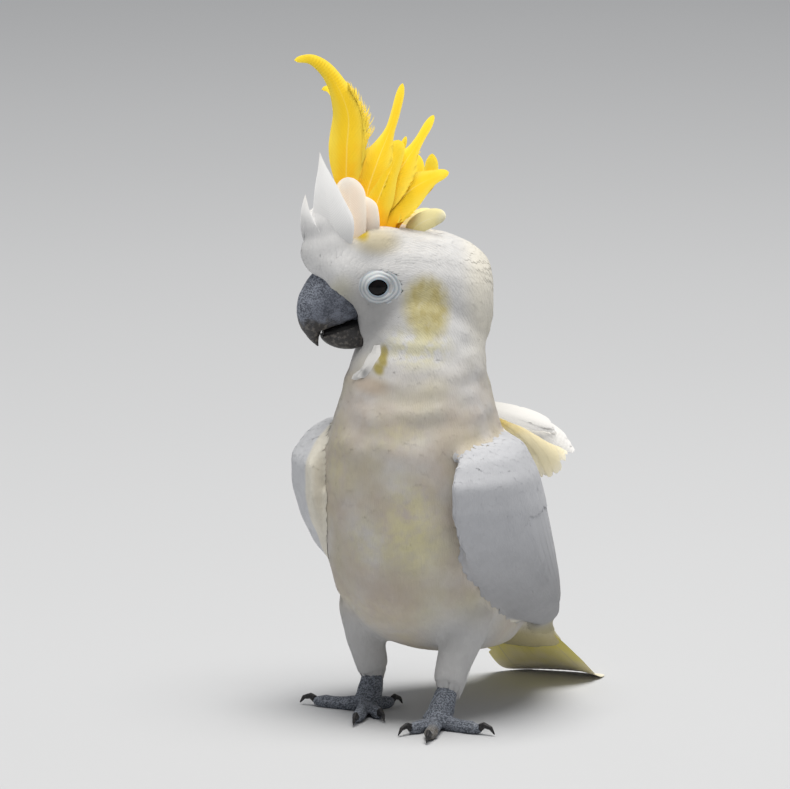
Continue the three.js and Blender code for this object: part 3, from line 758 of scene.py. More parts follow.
def strips(
    soup: Soup, middles: Array, ways: Array, normals: Array, halves: Array, ridge: float, places: Array,
    along: Array, across: Array, tone: Array, roundness: float = 0.3, scale: float = 0.0, lit: float = 0.0,
) -> None:  # fmt: skip
    """Adds many thin closed strips, each with a low ridge on top and a pointed end.

    Args:
        soup: The mesh that takes them.
        middles: Their middle lines, strip by station.
        ways: The way each runs, strip by station.
        normals: The way its top faces, strip by station.
        halves: Half its width, strip by station; the last station is the point.
        ridge: How far its middle stands over its edges.
        places: Its root's place in the UV map, strip by 2.
        along: 0 to 1 along the feather, strip by station.
        across: -1 to 1 across the feather, strip by station.
        tone: A shade for each strip.
        roundness: How much the normals lean out to its sides.
        scale: The number of that name, for all.
        lit: How far the normals lean up.
    """
    count, stations = middles.shape[:2]
    side = across_of(ways, normals)
    edge = side[:, :-1] * halves[:, :-1, None]
    low, facing = middles[:, :-1], normals[:, :-1]
    body = np.stack([low + edge, low + ridge * facing, low - edge], 2)
    points = np.concatenate([body.reshape(count, -1, 3), middles[:, -1:]], 1)
    lean = roundness * side[:, :-1]
    facing = np.stack([normals[:, :-1] + lean, normals[:, :-1], normals[:, :-1] - lean], 2)
    facing = np.concatenate([facing.reshape(count, -1, 3), normals[:, -1:]], 1)
    per = points.shape[1]
    split, under = [], []
    for a, b in ((0, 1), (1, 2), (2, 0)):
        for near in range(0, 3 * (stations - 2), 3):
            split += [(near + a, near + b, near + b + 3), (near + a, near + b + 3, near + a + 3)]
        split.append((3 * (stations - 2) + a, 3 * (stations - 2) + b, per - 1))
        under += [a == 2] * (len(split) - len(under))
    split.append((1, 0, 2))
    under.append(True)
    faces = (np.array(split)[None] + np.arange(count)[:, None, None] * per).reshape(-1, 3)

    def spread(values: Array) -> Array:
        """Station values for every point of the strips."""
        return np.concatenate([np.repeat(values[:, :-1], 3, 1), values[:, -1:]], 1)

    offsets = np.stack([spread(across), spread(along) * 2 - 1], -1) * (PATCH / 2)
    soup.add(
        points.reshape(-1, 3), faces, facing.reshape(-1, 3), (places[:, None] + offsets).reshape(-1, 2),
        np.tile(under, count), lit, along=spread(along).ravel(), across=spread(across).ravel(),
        tone=np.repeat(tone, per), scale=scale,
    )  # fmt: skip


def lofted(rings: Array) -> Arrays:
    """A closed mesh through rings of points, each end shut by a fan.

    Args:
        rings: Ring by point by 3.

    Returns:
        Its points and its triangles.
    """
    count, sides = rings.shape[:2]
    i = np.arange(sides)
    j = (i + 1) % sides
    faces = []
    for k in range(count - 1):
        a, b, c, d = k * sides + i, k * sides + j, (k + 1) * sides + j, (k + 1) * sides + i
        faces += [np.stack([a, b, c], 1), np.stack([a, c, d], 1)]
    points = np.concatenate([rings.reshape(-1, 3), rings[:1].mean(1), rings[-1:].mean(1)])
    last = (count - 1) * sides
    start, end = (np.full(sides, count * sides + k) for k in (0, 1))
    faces += [np.stack([j, i, start], 1), np.stack([last + i, last + j, end], 1)]
    return points, outward(points, np.concatenate(faces))


def outward(points: Array, faces: Array) -> Array:
    """The faces of a closed mesh, turned to face out."""
    a, b, c = ((points - points.mean(0))[faces[:, k]] for k in range(3))
    return faces if (np.cross(a, b) * c).sum() > 0 else faces[:, ::-1]


def packed(node: str) -> Arrays:
    """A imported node's points, and its triangles, with doubled points merged."""
    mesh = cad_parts[node].data
    mesh.calc_loop_triangles()
    points = np.array([v.co for v in mesh.vertices]) / MM
    faces = np.array([t.vertices[:] for t in mesh.loop_triangles])
    kept, merged = np.unique(points.round(3), axis=0, return_inverse=True)
    return kept, merged.reshape(-1)[faces]


def remeshed(points: Array, faces: Array, voxel: float) -> Arrays:
    """One even closed mesh round joined meshes.

    Args:
        points: Their points.
        faces: Their triangles.
        voxel: The new mesh's step.

    Returns:
        Its points and triangles.
    """
    mesh = bpy.data.meshes.new("work")
    mesh.from_pydata(points.tolist(), [], faces.tolist())
    work = placed("work", mesh)
    modifier = work.modifiers.new("remesh", "REMESH")
    modifier.mode = "VOXEL"
    modifier.voxel_size = voxel
    made = work.evaluated_get(bpy.context.evaluated_depsgraph_get()).to_mesh()
    even = np.array([v.co for v in made.vertices], float)
    quads = [p.vertices[:] for p in made.polygons]
    split = [(q[0], q[k], q[k + 1]) for q in quads for k in range(1, len(q) - 1)]
    bpy.data.objects.remove(work)
    bpy.data.meshes.remove(mesh)
    return even, np.array(split)


def relaxed(points: Array, faces: Array, rounds: int, shrink: bool = False) -> Array:
    """Points smoothed over a mesh.

    Args:
        points: A row of numbers for each point.
        faces: The triangles.
        rounds: How often each is drawn to its neighbours.
        shrink: Whether the mesh may shrink as it smooths.

    Returns:
        The smoothed rows.
    """
    pairs = np.concatenate([faces[:, [0, 1]], faces[:, [1, 2]], faces[:, [2, 0]]])
    pairs = np.unique(np.concatenate([pairs, pairs[:, ::-1]]), axis=0)
    count = np.maximum(np.bincount(pairs[:, 0], minlength=len(points)), 1)
    moved = np.array(points, float).reshape(len(points), -1)
    for factor in ([0.6] if shrink else [0.6, -0.61]) * rounds:
        mean = np.stack(
            [np.bincount(pairs[:, 0], column[pairs[:, 1]], len(points)) for column in moved.T], 1
        )
        moved = moved + factor * (mean / count[:, None] - moved)
    return moved.reshape(np.shape(points))


# ---- The body's surface ----


class Surface:
    """A smooth closed surface that plumage lies on."""

    def __init__(self, points: Array, faces: Array) -> None:
        """Keeps the mesh and a search tree over it."""
        self.points = points
        self.faces = faces
        self.normals = vertex_normals(points, faces)
        self.tree = BVHTree.FromPolygons(points.tolist(), faces.tolist())

    def nearest(self, places: Array) -> Arrays:
        """The surface's closest points, and the smooth normals there.

        Args:
            places: Points, one a row.

        Returns:
            Points on the surface and their normals.
        """
        hits = [self.tree.find_nearest(p) for p in places.tolist()]
        at = np.array([hit[0][:] for hit in hits])
        corners = self.faces[np.array([hit[2] for hit in hits])]
        a, b, c = (self.points[corners[:, k]] for k in range(3))
        whole = np.cross(b - a, c - a)
        area = np.maximum((whole * whole).sum(-1), 1e-12)
        wb = (np.cross(at - a, c - a) * whole).sum(-1) / area
        wc = (np.cross(b - a, at - a) * whole).sum(-1) / area
        weights = np.stack([1 - wb - wc, wb, wc], -1)[..., None]
        return at, unit((self.normals[corners] * weights).sum(1))

    def distance(self, places: Array) -> Array:
        """How far points lie from the surface."""
        return np.array([self.tree.find_nearest(p)[3] for p in places.tolist()])


class Owner(Enum):
    """The part of the body that a stretch of its surface belongs to."""

    HEAD = 0
    NECK = 1
    TRUNK = 2
    WING_LEFT = 3
    WING_RIGHT = 4
    LEG_LEFT = 5
    LEG_RIGHT = 6
    TAIL = 7

    @property
    def node(self) -> str:
        """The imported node."""
        return self.name.lower()


WINGS = (Owner.WING_LEFT.value, Owner.WING_RIGHT.value)
LEGS = (Owner.LEG_LEFT.value, Owner.LEG_RIGHT.value)


def wings_of(owners: Array) -> Iterator[tuple[Side, Array]]:
    """Each side whose wing owns some of the points, with those points' numbers."""
    for side, number in zip(Side, WINGS):
        mine = np.flatnonzero(owners == number)
        if len(mine):
            yield side, mine


@dataclass(frozen=True)
class WingForm:
    """A folded wing's outer face, as level chords from its front edge to its rear edge.

    Attributes:
        side: The bird's side.
        front: Where each chord starts, from the body's origin.
        rear: Where it ends.
        bulge: How far the wing swells out from it.
        tuck: How much further in the right wing's front edge lies.
        nose: How far back that edge is blunt, and how blunt.
        lift: How much higher the right shoulder is held.
        swing: How far the right wing hangs forwards, as a share of the drop.
    """

    side: Side
    front: tuple = (
        (44, 6, 168), (50.5, -10, 163), (55.5, -25, 145), (54.5, -17, 117),
        (53, 3, 91), (50, 42, 64), (38, 88, 46), (17, 128, 38),
    )  # fmt: skip
    rear: tuple = (
        (36, 42, 171), (28, 62, 168), (22, 79, 146), (16, 91, 118),
        (11, 102, 92), (8, 113, 69), (4, 126, 53), (2.5, 139, 43),
    )  # fmt: skip
    bulge: tuple = (9, 23, 34, 37, 36, 28, 16, 5)
    tuck: tuple = (4, 8, 12, 12, 9, 5, 1, 0)
    nose: Pair = (0.4, 1.3)
    lift: float = 5.0
    swing: float = 0.13

    def place(self, u: Array, s: Array) -> Array:
        """A point of the outer face.

        Args:
            u: 0 at the shoulder to 1 at the wing's tip.
            s: 0 at the front edge to 1 at the rear edge.

        Returns:
            The points.
        """
        u, s = np.broadcast_arrays(np.asarray(u, float), np.asarray(s, float))
        front, rear = spline(self.front, u), spline(self.rear, u)
        bulge = spline(self.bulge, u)
        tuck = spline(self.tuck, u) * (self.side is Side.RIGHT)
        front = front - tuck[..., None] * (1.0, 0.0, 0.0)
        chord = rear - front
        out = unit(np.stack([chord[..., 1], -chord[..., 0], np.zeros_like(u)], -1))
        inside = np.clip(s, 0, 1)
        blunt = np.sin(np.pi * np.minimum(1, inside / self.nose[0])) * self.nose[1]
        swell = bulge * (1 - np.abs(2 * inside - 1) ** 2.4) + tuck * blunt
        made = front + chord * s[..., None] + out * swell[..., None]
        if self.side is Side.RIGHT:
            top = self.front[0][2]
            made = np.stack(
                [
                    -made[..., 0],
                    made[..., 1] - self.swing * (top - front[..., 2]),
                    made[..., 2] + self.lift * front[..., 2] / top,
                ],
                -1,
            )
        return made + PLACES.shift

    def facing(self, u: Array, s: Array) -> Array:
        """The outward normal there."""
        reach = 0.012
        low, high = np.clip(s - reach, 0.0, 1), np.clip(s + reach, 0, 1.0)
        down = self.place(np.clip(u + reach, 0, 1), s) - self.place(np.clip(u - reach, 0, 1), s)
        back = self.place(u, high) - self.place(u, low)
        return unit(np.cross(down, back)) * self.side.value

    def samples(self) -> tuple[KDTree, Array, Array]:
        """Places all over the face.

        Returns:
            A search tree of them, their u and s, and the way down the wing at each.
        """
        u, s = np.meshgrid(np.linspace(0, 1, 50), np.linspace(0.02, 0.98, 24), indexing="ij")
        u, s = u.ravel(), s.ravel()
        points = self.place(u, s)
        tree = KDTree(len(points))
        for k, point in enumerate(points.tolist()):
            tree.insert(point, k)
        tree.balance()
        ways = unit(self.place(np.clip(u + 0.03, 0, 1), s) - self.place(np.clip(u - 0.03, 0, 1), s))
        return tree, np.stack([u, s], -1), ways


@dataclass(frozen=True)
class TailForm:
    """The tail as a flat fan round a line that runs back and down to the floor.

    Attributes:
        line: Its middle line, from the body's origin.
        half: Half its width along that line.
        skew: How much further back its left edge lies.
        droop: How much lower its edges lie.
    """

    line: tuple = ((0, 80, 64), (0, 101, 49), (0.5, 121, 34), (1.5, 139, 19), (3, 156, 6.4), (4.5, 173, 0.3))
    half: tuple = (36, 37, 38, 37, 34, 31)
    skew: tuple = (0, 0, 1, 3, 6, 9)
    droop: tuple = (0, 0, 0.5, 2.5, 4.5, 1)

    def place(self, t: Array, c: Array) -> Array:
        """A point of the fan.

        Args:
            t: 0 in the rump to 1 at the tip.
            c: -1 at the right edge to 1 at the left edge.

        Returns:
            The points.
        """
        t, c = np.broadcast_arrays(np.asarray(t, float), np.asarray(c, float))
        rows = (self.line, self.half, self.skew, self.droop)
        middle, half, skew, droop = (spline(row, t) for row in rows)
        return middle + np.stack([half * c, skew * c, -droop * c**2], -1) + PLACES.shift

    def facing(self, t: Array, c: Array) -> Array:
        """The way its upper side faces."""
        along = self.place(np.clip(t + 0.02, 0, 1), c) - self.place(np.clip(t - 0.02, 0, 1), c)
        return unit(np.cross((1.0, 0.0, 0.0), along))


@dataclass
class Body:
    """The flesh: one skin over the head, neck, trunk, wings, legs and rump, and the lie of its coat.

    Attributes:
        voxel: The step of its mesh.
        rounds: How often it is smoothed.
        proud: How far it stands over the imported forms.
        swells: Where the raised crest's small feathers swell the head: middles and half sizes.
        stump: Between which distances back, from the body's origin, the tail's flesh thins out.
        down: How deep the crest's down lies under its feathers.
        bill_root: Where the lie of the face's feathers starts, ahead of and above the head's centre.
        eye_clear: Half sizes of the bare ring round each eye.
        ring_back: How far further back the ring's middle lies than the eye's.
    """

    voxel: float = 2.2
    rounds: int = 30
    proud: float = 0.35
    swells: tuple = (
        ((46, 0, 8), (17, 15, 9)), ((50, 0, 20), (19, 13.5, 11)), ((56, 0, 32), (16.5, 11, 11)),
        ((60, 0, 43), (13, 8.5, 10)), ((61, 0, 49), (9.5, 5, 7)),
        ((27, 9, 31), (17, 10.5, 12.5)), ((27, -9, 31), (17, 10.5, 12.5)),
        ((6, 9, 28), (15, 11, 9)), ((6, -9, 28), (15, 11, 9)),
    )  # fmt: skip
    stump: Pair = (92.0, 124.0)
    down: float = 0.9
    bill_root: Pair = (60.0, 4.0)
    eye_clear: Pair = (11.4, 10.4)
    ring_back: float = 0.6

    def __post_init__(self) -> None:
        """Builds the surface and the wings' charts."""
        self.wings = {side: WingForm(side) for side in Side}
        self.charts = {side: wing.samples() for side, wing in self.wings.items()}
        self.nodes = {owner: packed(owner.node) for owner in Owner}
        flesh = [
            (points + self.proud * vertex_normals(points, faces), faces)
            for points, faces in self.nodes.values()
        ]
        stump, faces = flesh[Owner.TAIL.value]
        start, end = (PLACES.in_body(0, back, 0)[1] for back in self.stump)
        sheet = TailForm().place(np.linspace(0, 1, 60), 0)
        x, y, z = stump[:, 0], stump[:, 1].clip(max=end), stump[:, 2]
        middle, thin = np.interp(y, sheet[:, 1], sheet[:, 2]), 1 - 0.85 * step(y, start, end)
        height = (z - np.interp(stump[:, 1], sheet[:, 1], sheet[:, 2])) * thin
        flesh[Owner.TAIL.value] = (np.stack([x * (0.7 + 0.3 * thin), y, middle + height], 1), faces)
        self.flesh = self.united(flesh)
        self.surface = self.united(flesh + [self.swell(*swell) for swell in self.swells])
        self.owners = {owner: Surface(*mesh) for owner, mesh in self.nodes.items()}
        LOG.info("surface: %d triangles", len(self.surface.faces))

    def swell(self, middle: tuple, half: tuple) -> Arrays:
        """One soft form over the head, as points and triangles."""
        polar = np.linspace(0.05, np.pi - 0.05, 20)[:, None]
        angle = circle(28)[None]
        ways = (np.sin(polar) * np.cos(angle), np.sin(polar) * np.sin(angle), np.cos(polar) + 0 * angle)
        return lofted(PLACES.at(*(m + h * way for m, h, way in zip(middle, half, ways))))

    def united(self, forms: list[Arrays]) -> Surface:
        """One smooth lumpy surface round several forms."""
        starts = np.cumsum([0] + [len(points) for points, _ in forms])
        joined = np.concatenate([faces + start for (_, faces), start in zip(forms, starts)])
        even, split = remeshed(np.concatenate([points for points, _ in forms]), joined, self.voxel)
        smooth = relaxed(even, split, self.rounds)
        smooth = smooth + vertex_normals(smooth, split) * self.lumpiness(smooth)[:, None]
        return Surface(smooth, split)

    def lumpiness(self, points: Array) -> Array:
        """How high the coat's soft lumps stand: bands on the neck, cushions on the breast.

        Args:
            points: Places on the surface.

        Returns:
            A height for each, almost none on the wings.
        """
        z = points[:, 2]
        local = PLACES.in_head(points)
        neck = step(z, 150, 180) * (1 - step(z, 226, 244))
        breast = (1 - step(z, 160, 185)) * step(z, 30, 60)
        wing = step(np.abs(points[:, 0]), 53, 58) * (1 - step(z, 180, 186))
        crown = step(local[:, 2], 18, 30) * (1 - step(local[:, 0], 20, 34))
        bands = lumps(points, (24, 24, 9), 5.0) * 1.3 + lumps(points, (12, 12, 8), 9.0) * 0.4
        cushions = lumps(points, (20, 20, 20), 2.0) * 1.2
        tufts = lumps(points, (12, 12, 12), 4.0) * 0.6
        return (neck * bands + breast * cushions + crown * tufts) * (1 - wing)

    def depth(self, points: Array, owners: Array) -> Array:
        """How deep the skin lies under the coat, by place and owner."""
        from_bill = np.linalg.norm(PLACES.in_head(points) - (60, 0, 2), axis=1)
        deep = 0.6 + 1.9 * step(from_bill, 25, 115)
        sheet = np.isin(owners, (*WINGS, Owner.TAIL.value))
        return np.where(np.isin(owners, LEGS), 1.3, np.where(sheet, 1.2, deep))

    def owner_of(self, points: Array) -> Array:
        """The owner of each point, as a number."""
        return np.argmin([self.owners[owner].distance(points) for owner in Owner], 0)

    def chart(self, side: Side, points: Array) -> Arrays:
        """The wing's u and s near points, and the way down the wing there."""
        tree, places, ways = self.charts[side]
        found = [tree.find(p)[1] for p in points.tolist()]
        return places[found], ways[found]

    def lie(self, points: Array, normals: Array, owners: Array) -> Array:
        """The way the coat runs: back from the bill, down the body, down and back along the wings.

        Args:
            points: Places on the surface.
            normals: The surface's normals there.
            owners: Their owners.

        Returns:
            A direction for each, in the surface.
        """
        z = points[:, 2]
        down = unit(np.stack([np.zeros_like(z), 0.12 + 0.5 * (1 - step(z, 30, 120)), -np.ones_like(z)], -1))
        root = PLACES.at(self.bill_root[0], 0, self.bill_root[1])
        away = points - root
        far = np.linalg.norm(away, axis=1)
        head = unit(away) - UP * 1.5 * step(far, 40, 88)[:, None]
        share = step(z, 196, 222)[:, None]
        way = unit(down * (1 - share) + unit(head) * share)
        for side, mine in wings_of(owners):
            way[mine] = self.chart(side, points[mine])[1]
        way[np.isin(owners, LEGS)] = (0, 0, -1)
        way[owners == Owner.TAIL.value] = unit(np.array([0, 0.72, -0.6]))
        return flattened(way, normals)

    def bare(self, points: Array) -> Array:
        """Whether each point lies in the bare ring round an eye."""
        local = PLACES.in_head(points)
        reach = (local[:, 0] - Places.EYE_AHEAD + self.ring_back) / self.eye_clear[0]
        rise = (local[:, 2] - Places.EYE_UP) / self.eye_clear[1]
        return (reach**2 + rise**2 < 1) & (np.abs(local[:, 1]) > 8)

    def unwrap(self, points: Array, owners: Array) -> Array:
        """Places in the UV map: round and down the body, along each wing's two faces.

        Args:
            points: Places on the surface.
            owners: Their owners.

        Returns:
            A place for each.
        """
        x, y, z = points.T
        made = np.stack([np.arctan2(x, -(y + 30)) / (2 * np.pi) + 0.5, z / 300], -1)
        head = owners == Owner.HEAD.value
        local = PLACES.in_head(points)
        turn = np.arctan2(local[:, 1], local[:, 2]) / (2 * np.pi) + 0.5
        made[head] = np.stack([turn, (local[:, 0] + 42) / 120], -1)[head]
        for side, mine in wings_of(owners):
            places = self.chart(side, points[mine])[0]
            inner = np.linalg.norm(self.wings[side].place(*places.T) - points[mine], axis=1) > 4
            made[mine] = np.stack([places[:, 0], places[:, 1] * 0.46 + 0.5 * inner], -1)
        return 0.01 + 0.98 * np.clip(made, 0, 1)

    def foot_axis(self, side: Side) -> Pair:
        """X and Y of the bare leg where it leaves the feathers."""
        foot = packed(f"foot_{side.word}")[0]
        upper = foot[foot[:, 2] > foot[:, 2].max() - 4].mean(0)
        return float(upper[0]), float(upper[1])

    def pedestal(self, material: Material) -> None:
        """Builds the down under the crest's small feathers."""
        form = self.united([self.swell(*swell) for swell in self.swells])
        points = form.points - form.normals * self.down
        places = self.unwrap(points, np.full(len(points), Owner.HEAD.value))
        soup = Soup().add(points, form.faces, form.normals, places, along=0.5, tone=0.3, scale=0)
        soup.build("crest_down", material, Slot.WHITE, ("head",))

    def skin(self, material: Material) -> None:
        """Builds the skin, the coat's depth inside the surface.

        Args:
            material: The finish.
        """
        flesh = self.flesh
        owners = self.owner_of(flesh.points)
        depth = relaxed(self.depth(flesh.points, owners), flesh.faces, 8, shrink=True)
        points = flesh.points - flesh.normals * depth[:, None]
        wing = np.isin(owners, WINGS)
        nodes = tuple(owner.node for owner in Owner if owner is not Owner.TAIL)
        places = self.unwrap(points, owners)
        soup = Soup().add(points, flesh.faces, None, places, along=0.5, tone=0.3, scale=wing)
        soup.build("skin", material, Slot.WHITE, nodes)


# ---- The small feathers ----


@dataclass(frozen=True)
class Tract:
    """One stretch of small feathers.

    Attributes:
        name: The piece's name.
        nodes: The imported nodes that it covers.
        locks: How many locks make a feather.
        stations: Stations along a lock, its point included.
        spacing: Roots' spacing, as a share of the feather's size.
        breadth: A feather's width, as a share of its length.
        loose: How much its feathers' directions and lift vary.
        slot: The record's slot.
    """

    name: str
    nodes: tuple[str, ...]
    locks: int
    stations: int
    spacing: float
    breadth: float
    loose: float
    slot: Slot = Slot.WHITE


TRACTS = (
    Tract("coat_face", ("head",), 2, 4, 0.36, 0.62, 0.6),
    Tract("coat_crown", ("head",), 5, 5, 0.31, 0.66, 0.8),
    Tract("coat_cheek", ("head", "neck"), 5, 5, 0.33, 0.62, 0.7),
    Tract("coat_neck", ("neck", "trunk"), 8, 5, 0.3, 0.72, 0.8),
    Tract("coat_breast", ("trunk",), 10, 5, 0.3, 0.74, 0.8),
    Tract("coat_back", ("trunk",), 10, 5, 0.33, 0.72, 0.8),
    Tract("coat_belly", ("trunk",), 9, 5, 0.3, 0.66, 1.2),
    Tract("coat_rump", ("trunk", "tail"), 9, 5, 0.34, 0.6, 1.0, Slot.TAIL),
    Tract("coat_wing_left", ("wing_left",), 7, 5, 0.34, 0.74, 0.2),
    Tract("coat_wing_right", ("wing_right",), 7, 5, 0.34, 0.74, 0.2),
    Tract("coat_leg_left", ("leg_left",), 5, 5, 0.36, 0.5, 1.0),
    Tract("coat_leg_right", ("leg_right",), 5, 5, 0.36, 0.5, 1.0),
)


@dataclass
class Coat:
    """All the small feathers over the skin.

    Attributes:
        body: The flesh and the lie of its coat.
        seed: The start of every random draw.
        tries: Candidates drawn for each root that fits.
        march: Steps along a feather's middle line.
    """

    body: Body
    seed: int = 7
    tries: float = 5.0
    march: int = 3

    LOWEST = 21.0  # no root lies lower
    TAIL_COVERED = 38.0  # the long feathers cover the tail's flesh below this height
    # Distances from the bill, and a feather's length there.
    LENGTHS = ((0, 1.9), (14, 2.2), (28, 3.6), (45, 6.0), (65, 9.5), (90, 13.0), (130, 17.0), (400, 20.0))
    OVER_WING = 0.45  # how much higher the wings' small feathers lie, over the long ones' roots
    RISE = 6.0  # how quickly a feather comes up out of the coat
    SINK = 0.8  # how deep its root lies, as a share of the coat's depth
    SWING = 0.13  # how far feathers' directions vary
    GROWTH = (0.86, 1.16)  # between which shares of it their lengths vary
    LIFT = (0.03, 0.05)  # how far their ends stand off, and how much that varies
    UNEVEN = 0.02  # how much the locks' heights vary
    FULL = 0.82  # a lock's half width, as a share of the part of the feather that it takes
    RIDGE = 0.06  # how far a lock's middle stands over its edges
    ROUND = 0.22  # how much its normals lean out to its sides
    # A lock's stations along the feather, and its widths there, by how many there are.
    SHARES = {4: (0, 0.42, 0.82, 1), 5: (0, 0.28, 0.55, 0.82, 1)}
    WIDTHS = {4: (0.7, 1.0, 0.84, 0), 5: (0.7, 0.95, 1.0, 0.8, 0)}
    # Where the coat stands up more: ahead, left and above the head's centre, reach, extra lift.
    RUFFLES = ((-30, 12, 24, 9, 0.5), (-36, -4, 22, 9, 0.5), (-38, 8, -4, 9, 0.4), (-20, 16, 32, 8, 0.3))

    def length(self, points: Array, owners: Array) -> Array:
        """A feather's length by its place: shortest by the bill, longest on the back and belly.

        Args:
            points: Places on the surface.
            owners: Their owners.

        Returns:
            A length for each.
        """
        from_bill = np.linalg.norm(PLACES.in_head(points) - (58, 0, 2), axis=1)
        stops, lengths = zip(*self.LENGTHS)
        made = np.interp(from_bill, stops, lengths)
        for side, mine in wings_of(owners):
            u, s = self.body.chart(side, points[mine])[0].T
            made[mine] = np.interp(np.minimum(u * 1.6, 0.15 + s * 2.2), [0, 0.2, 0.5, 1], [5.5, 8, 12.5, 17])
        on_leg = np.interp(points[:, 2], [20, 26, 34, 60, 75], [5, 6, 7, 10, 13])
        made = np.where(np.isin(owners, LEGS), on_leg, made)
        f, _, rise = PLACES.in_head(points).T
        raised = step(rise, 10, 30) * step(f, 2, 14)
        return made * (1 - raised) + np.interp(f, [26, 40], [10.5, 6.5]) * raised

    def tract_of(self, points: Array, owners: Array, normals: Array) -> Array:
        """The number of the tract that each root belongs to.

        Args:
            points: The roots' places.
            owners: Their owners.
            normals: The surface's normals there.

        Returns:
            A number for each.
        """
        z, local = points[:, 2], PLACES.in_head(points)
        from_bill = np.linalg.norm(local - (58, 0, 2), axis=1)
        numbers = {tract.name: number for number, tract in enumerate(TRACTS)}
        made = np.full(len(points), numbers["coat_breast"])
        for name, mine in (
            ("back", normals[:, 1] > 0.15),
            ("belly", z < 88),
            ("rump", (z < 75) & (points[:, 1] > 10) | (owners == Owner.TAIL.value)),
            ("neck", z > 168),
            ("cheek", z > 214),
            ("crown", (z > 214) & (local[:, 2] > 17)),
            ("face", (z > 214) & (from_bill < 30)),
            *((owner.node, owners == owner.value) for owner in Owner if owner.value in WINGS + LEGS),
        ):
            made[mine] = numbers[f"coat_{name}"]
        return made

    def hidden(self, points: Array, owners: Array) -> Array:
        """Whether each root lies under larger feathers, where none of it would show.

        Args:
            points: The roots' places.
            owners: Their owners.

        Returns:
            True or false for each.
        """
        made = np.zeros(len(points), bool)
        for side, mine in wings_of(owners):
            u, s = self.body.chart(side, points[mine])[0].T
            outer = np.linalg.norm(self.body.wings[side].place(u, s) - points[mine], axis=1) < 4
            made[mine] = outer & (u > 0.34) & (s > 0.3) & (s < 0.92) | (u < 0.1) & (s < 0.06)
        return made | ((owners == Owner.TAIL.value) & (points[:, 2] < self.TAIL_COVERED))

    def thinned(self, points: Array, spacing: Array) -> Array:
        """Thins out points that lie too close together.

        Args:
            points: The points.
            spacing: How far apart they should be, for each.

        Returns:
            The numbers of those that keep their spacing from the kept ones before them.
        """
        cell = float(spacing.max())
        taken: dict = {}
        kept = []
        keys = np.floor(points / cell).astype(int).tolist()
        around = [(i, j, k) for i in (-1, 0, 1) for j in (-1, 0, 1) for k in (-1, 0, 1)]
        rows, gaps = points.tolist(), (spacing**2).tolist()
        for n, (i, j, k) in enumerate(keys):
            x, y, z = rows[n]
            gap = gaps[n]
            near = (p for a, b, c in around for p in taken.get((i + a, j + b, k + c), ()))
            if all((x - p[0]) ** 2 + (y - p[1]) ** 2 + (z - p[2]) ** 2 >= gap for p in near):
                taken.setdefault((i, j, k), []).append(rows[n])
                kept.append(n)
        return np.array(kept, int)

    def roots(self) -> list[dict[str, Array]]:
        """Spreads roots evenly over the surface.

        Returns:
            The places and the owners of each tract's roots.
        """
        surface = self.body.surface
        rng = np.random.default_rng(self.seed)
        corners = surface.points[surface.faces]
        centres = corners.mean(1)
        first = corners[:, :1]
        one, other = np.moveaxis(corners[:, 1:] - first, 1, 0)
        area = np.linalg.norm(np.cross(one, other), axis=1) / 2
        owners = self.body.owner_of(centres)
        facing = unit(surface.normals[surface.faces].sum(1))
        tracts = self.tract_of(centres, owners, facing)
        ratio = np.array([tract.spacing * math.sqrt(tract.breadth) for tract in TRACTS])[tracts]
        gap = self.length(centres, owners) * ratio
        low = centres[:, 2] < self.LOWEST
        bare = self.body.bare(centres) | self.hidden(centres, owners) | low
        wanted = np.where(bare, 0, area / gap**2)
        count = int(wanted.sum() * self.tries)
        chosen = np.searchsorted(np.cumsum(wanted) / wanted.sum(), rng.random(count)).clip(0, len(area) - 1)
        a, b = rng.random((2, count))
        flip = a + b > 1
        a, b = np.where(flip, 1 - a, a)[:, None], np.where(flip, 1 - b, b)[:, None]
        at = corners[chosen, 0] * (1 - a - b) + corners[chosen, 1] * a + corners[chosen, 2] * b
        made = []
        for number in range(len(TRACTS)):
            mine = np.flatnonzero(tracts[chosen] == number)
            kept = mine[self.thinned(at[mine], gap[chosen[mine]])] if len(mine) else mine
            made.append({"at": at[kept], "owner": owners[chosen[kept]]})
        return made

    def grow(self, number: int, roots: dict[str, Array], material: Material) -> None:
        """Builds one tract's feathers as one mesh.

        Args:
            number: The tract's number.
            roots: Its feathers' places and owners.
            material: The finish.
        """
        tract = TRACTS[number]
        rng = np.random.default_rng(self.seed + 10 * number + 1)
        body, surface = self.body, self.body.surface
        owners, count = roots["owner"], len(roots["at"])
        at, normal = surface.nearest(roots["at"])
        way = body.lie(at, normal, owners)
        swing = rng.normal(0, self.SWING * tract.loose, count)[:, None]
        way = flattened(way + across_of(way, normal) * swing, normal)
        length = self.length(at, owners) * rng.uniform(*self.GROWTH, count)
        sink = body.depth(at, owners) * self.SINK
        line, up = [at], [normal]
        for _ in range(self.march):
            ahead, normal = surface.nearest(line[-1] + way * (length / self.march)[:, None])
            fresh = body.lie(ahead, normal, owners)
            way = flattened(unit(way + 0.5 * fresh), normal)
            line.append(ahead)
            up.append(normal)
        line, up = np.stack(line, 1), np.stack(up, 1)
        local = PLACES.in_head(at)
        ruffle = np.zeros(count)
        for f, l, z, reach, extra in self.RUFFLES:
            ruffle += extra * np.exp(-((local - (f, l, z)) ** 2).sum(1) / reach**2)
        stray = np.abs(rng.normal(0, self.LIFT[1] * tract.loose, count))
        lift = (self.LIFT[0] + ruffle + stray) * np.minimum(1, length / 8)

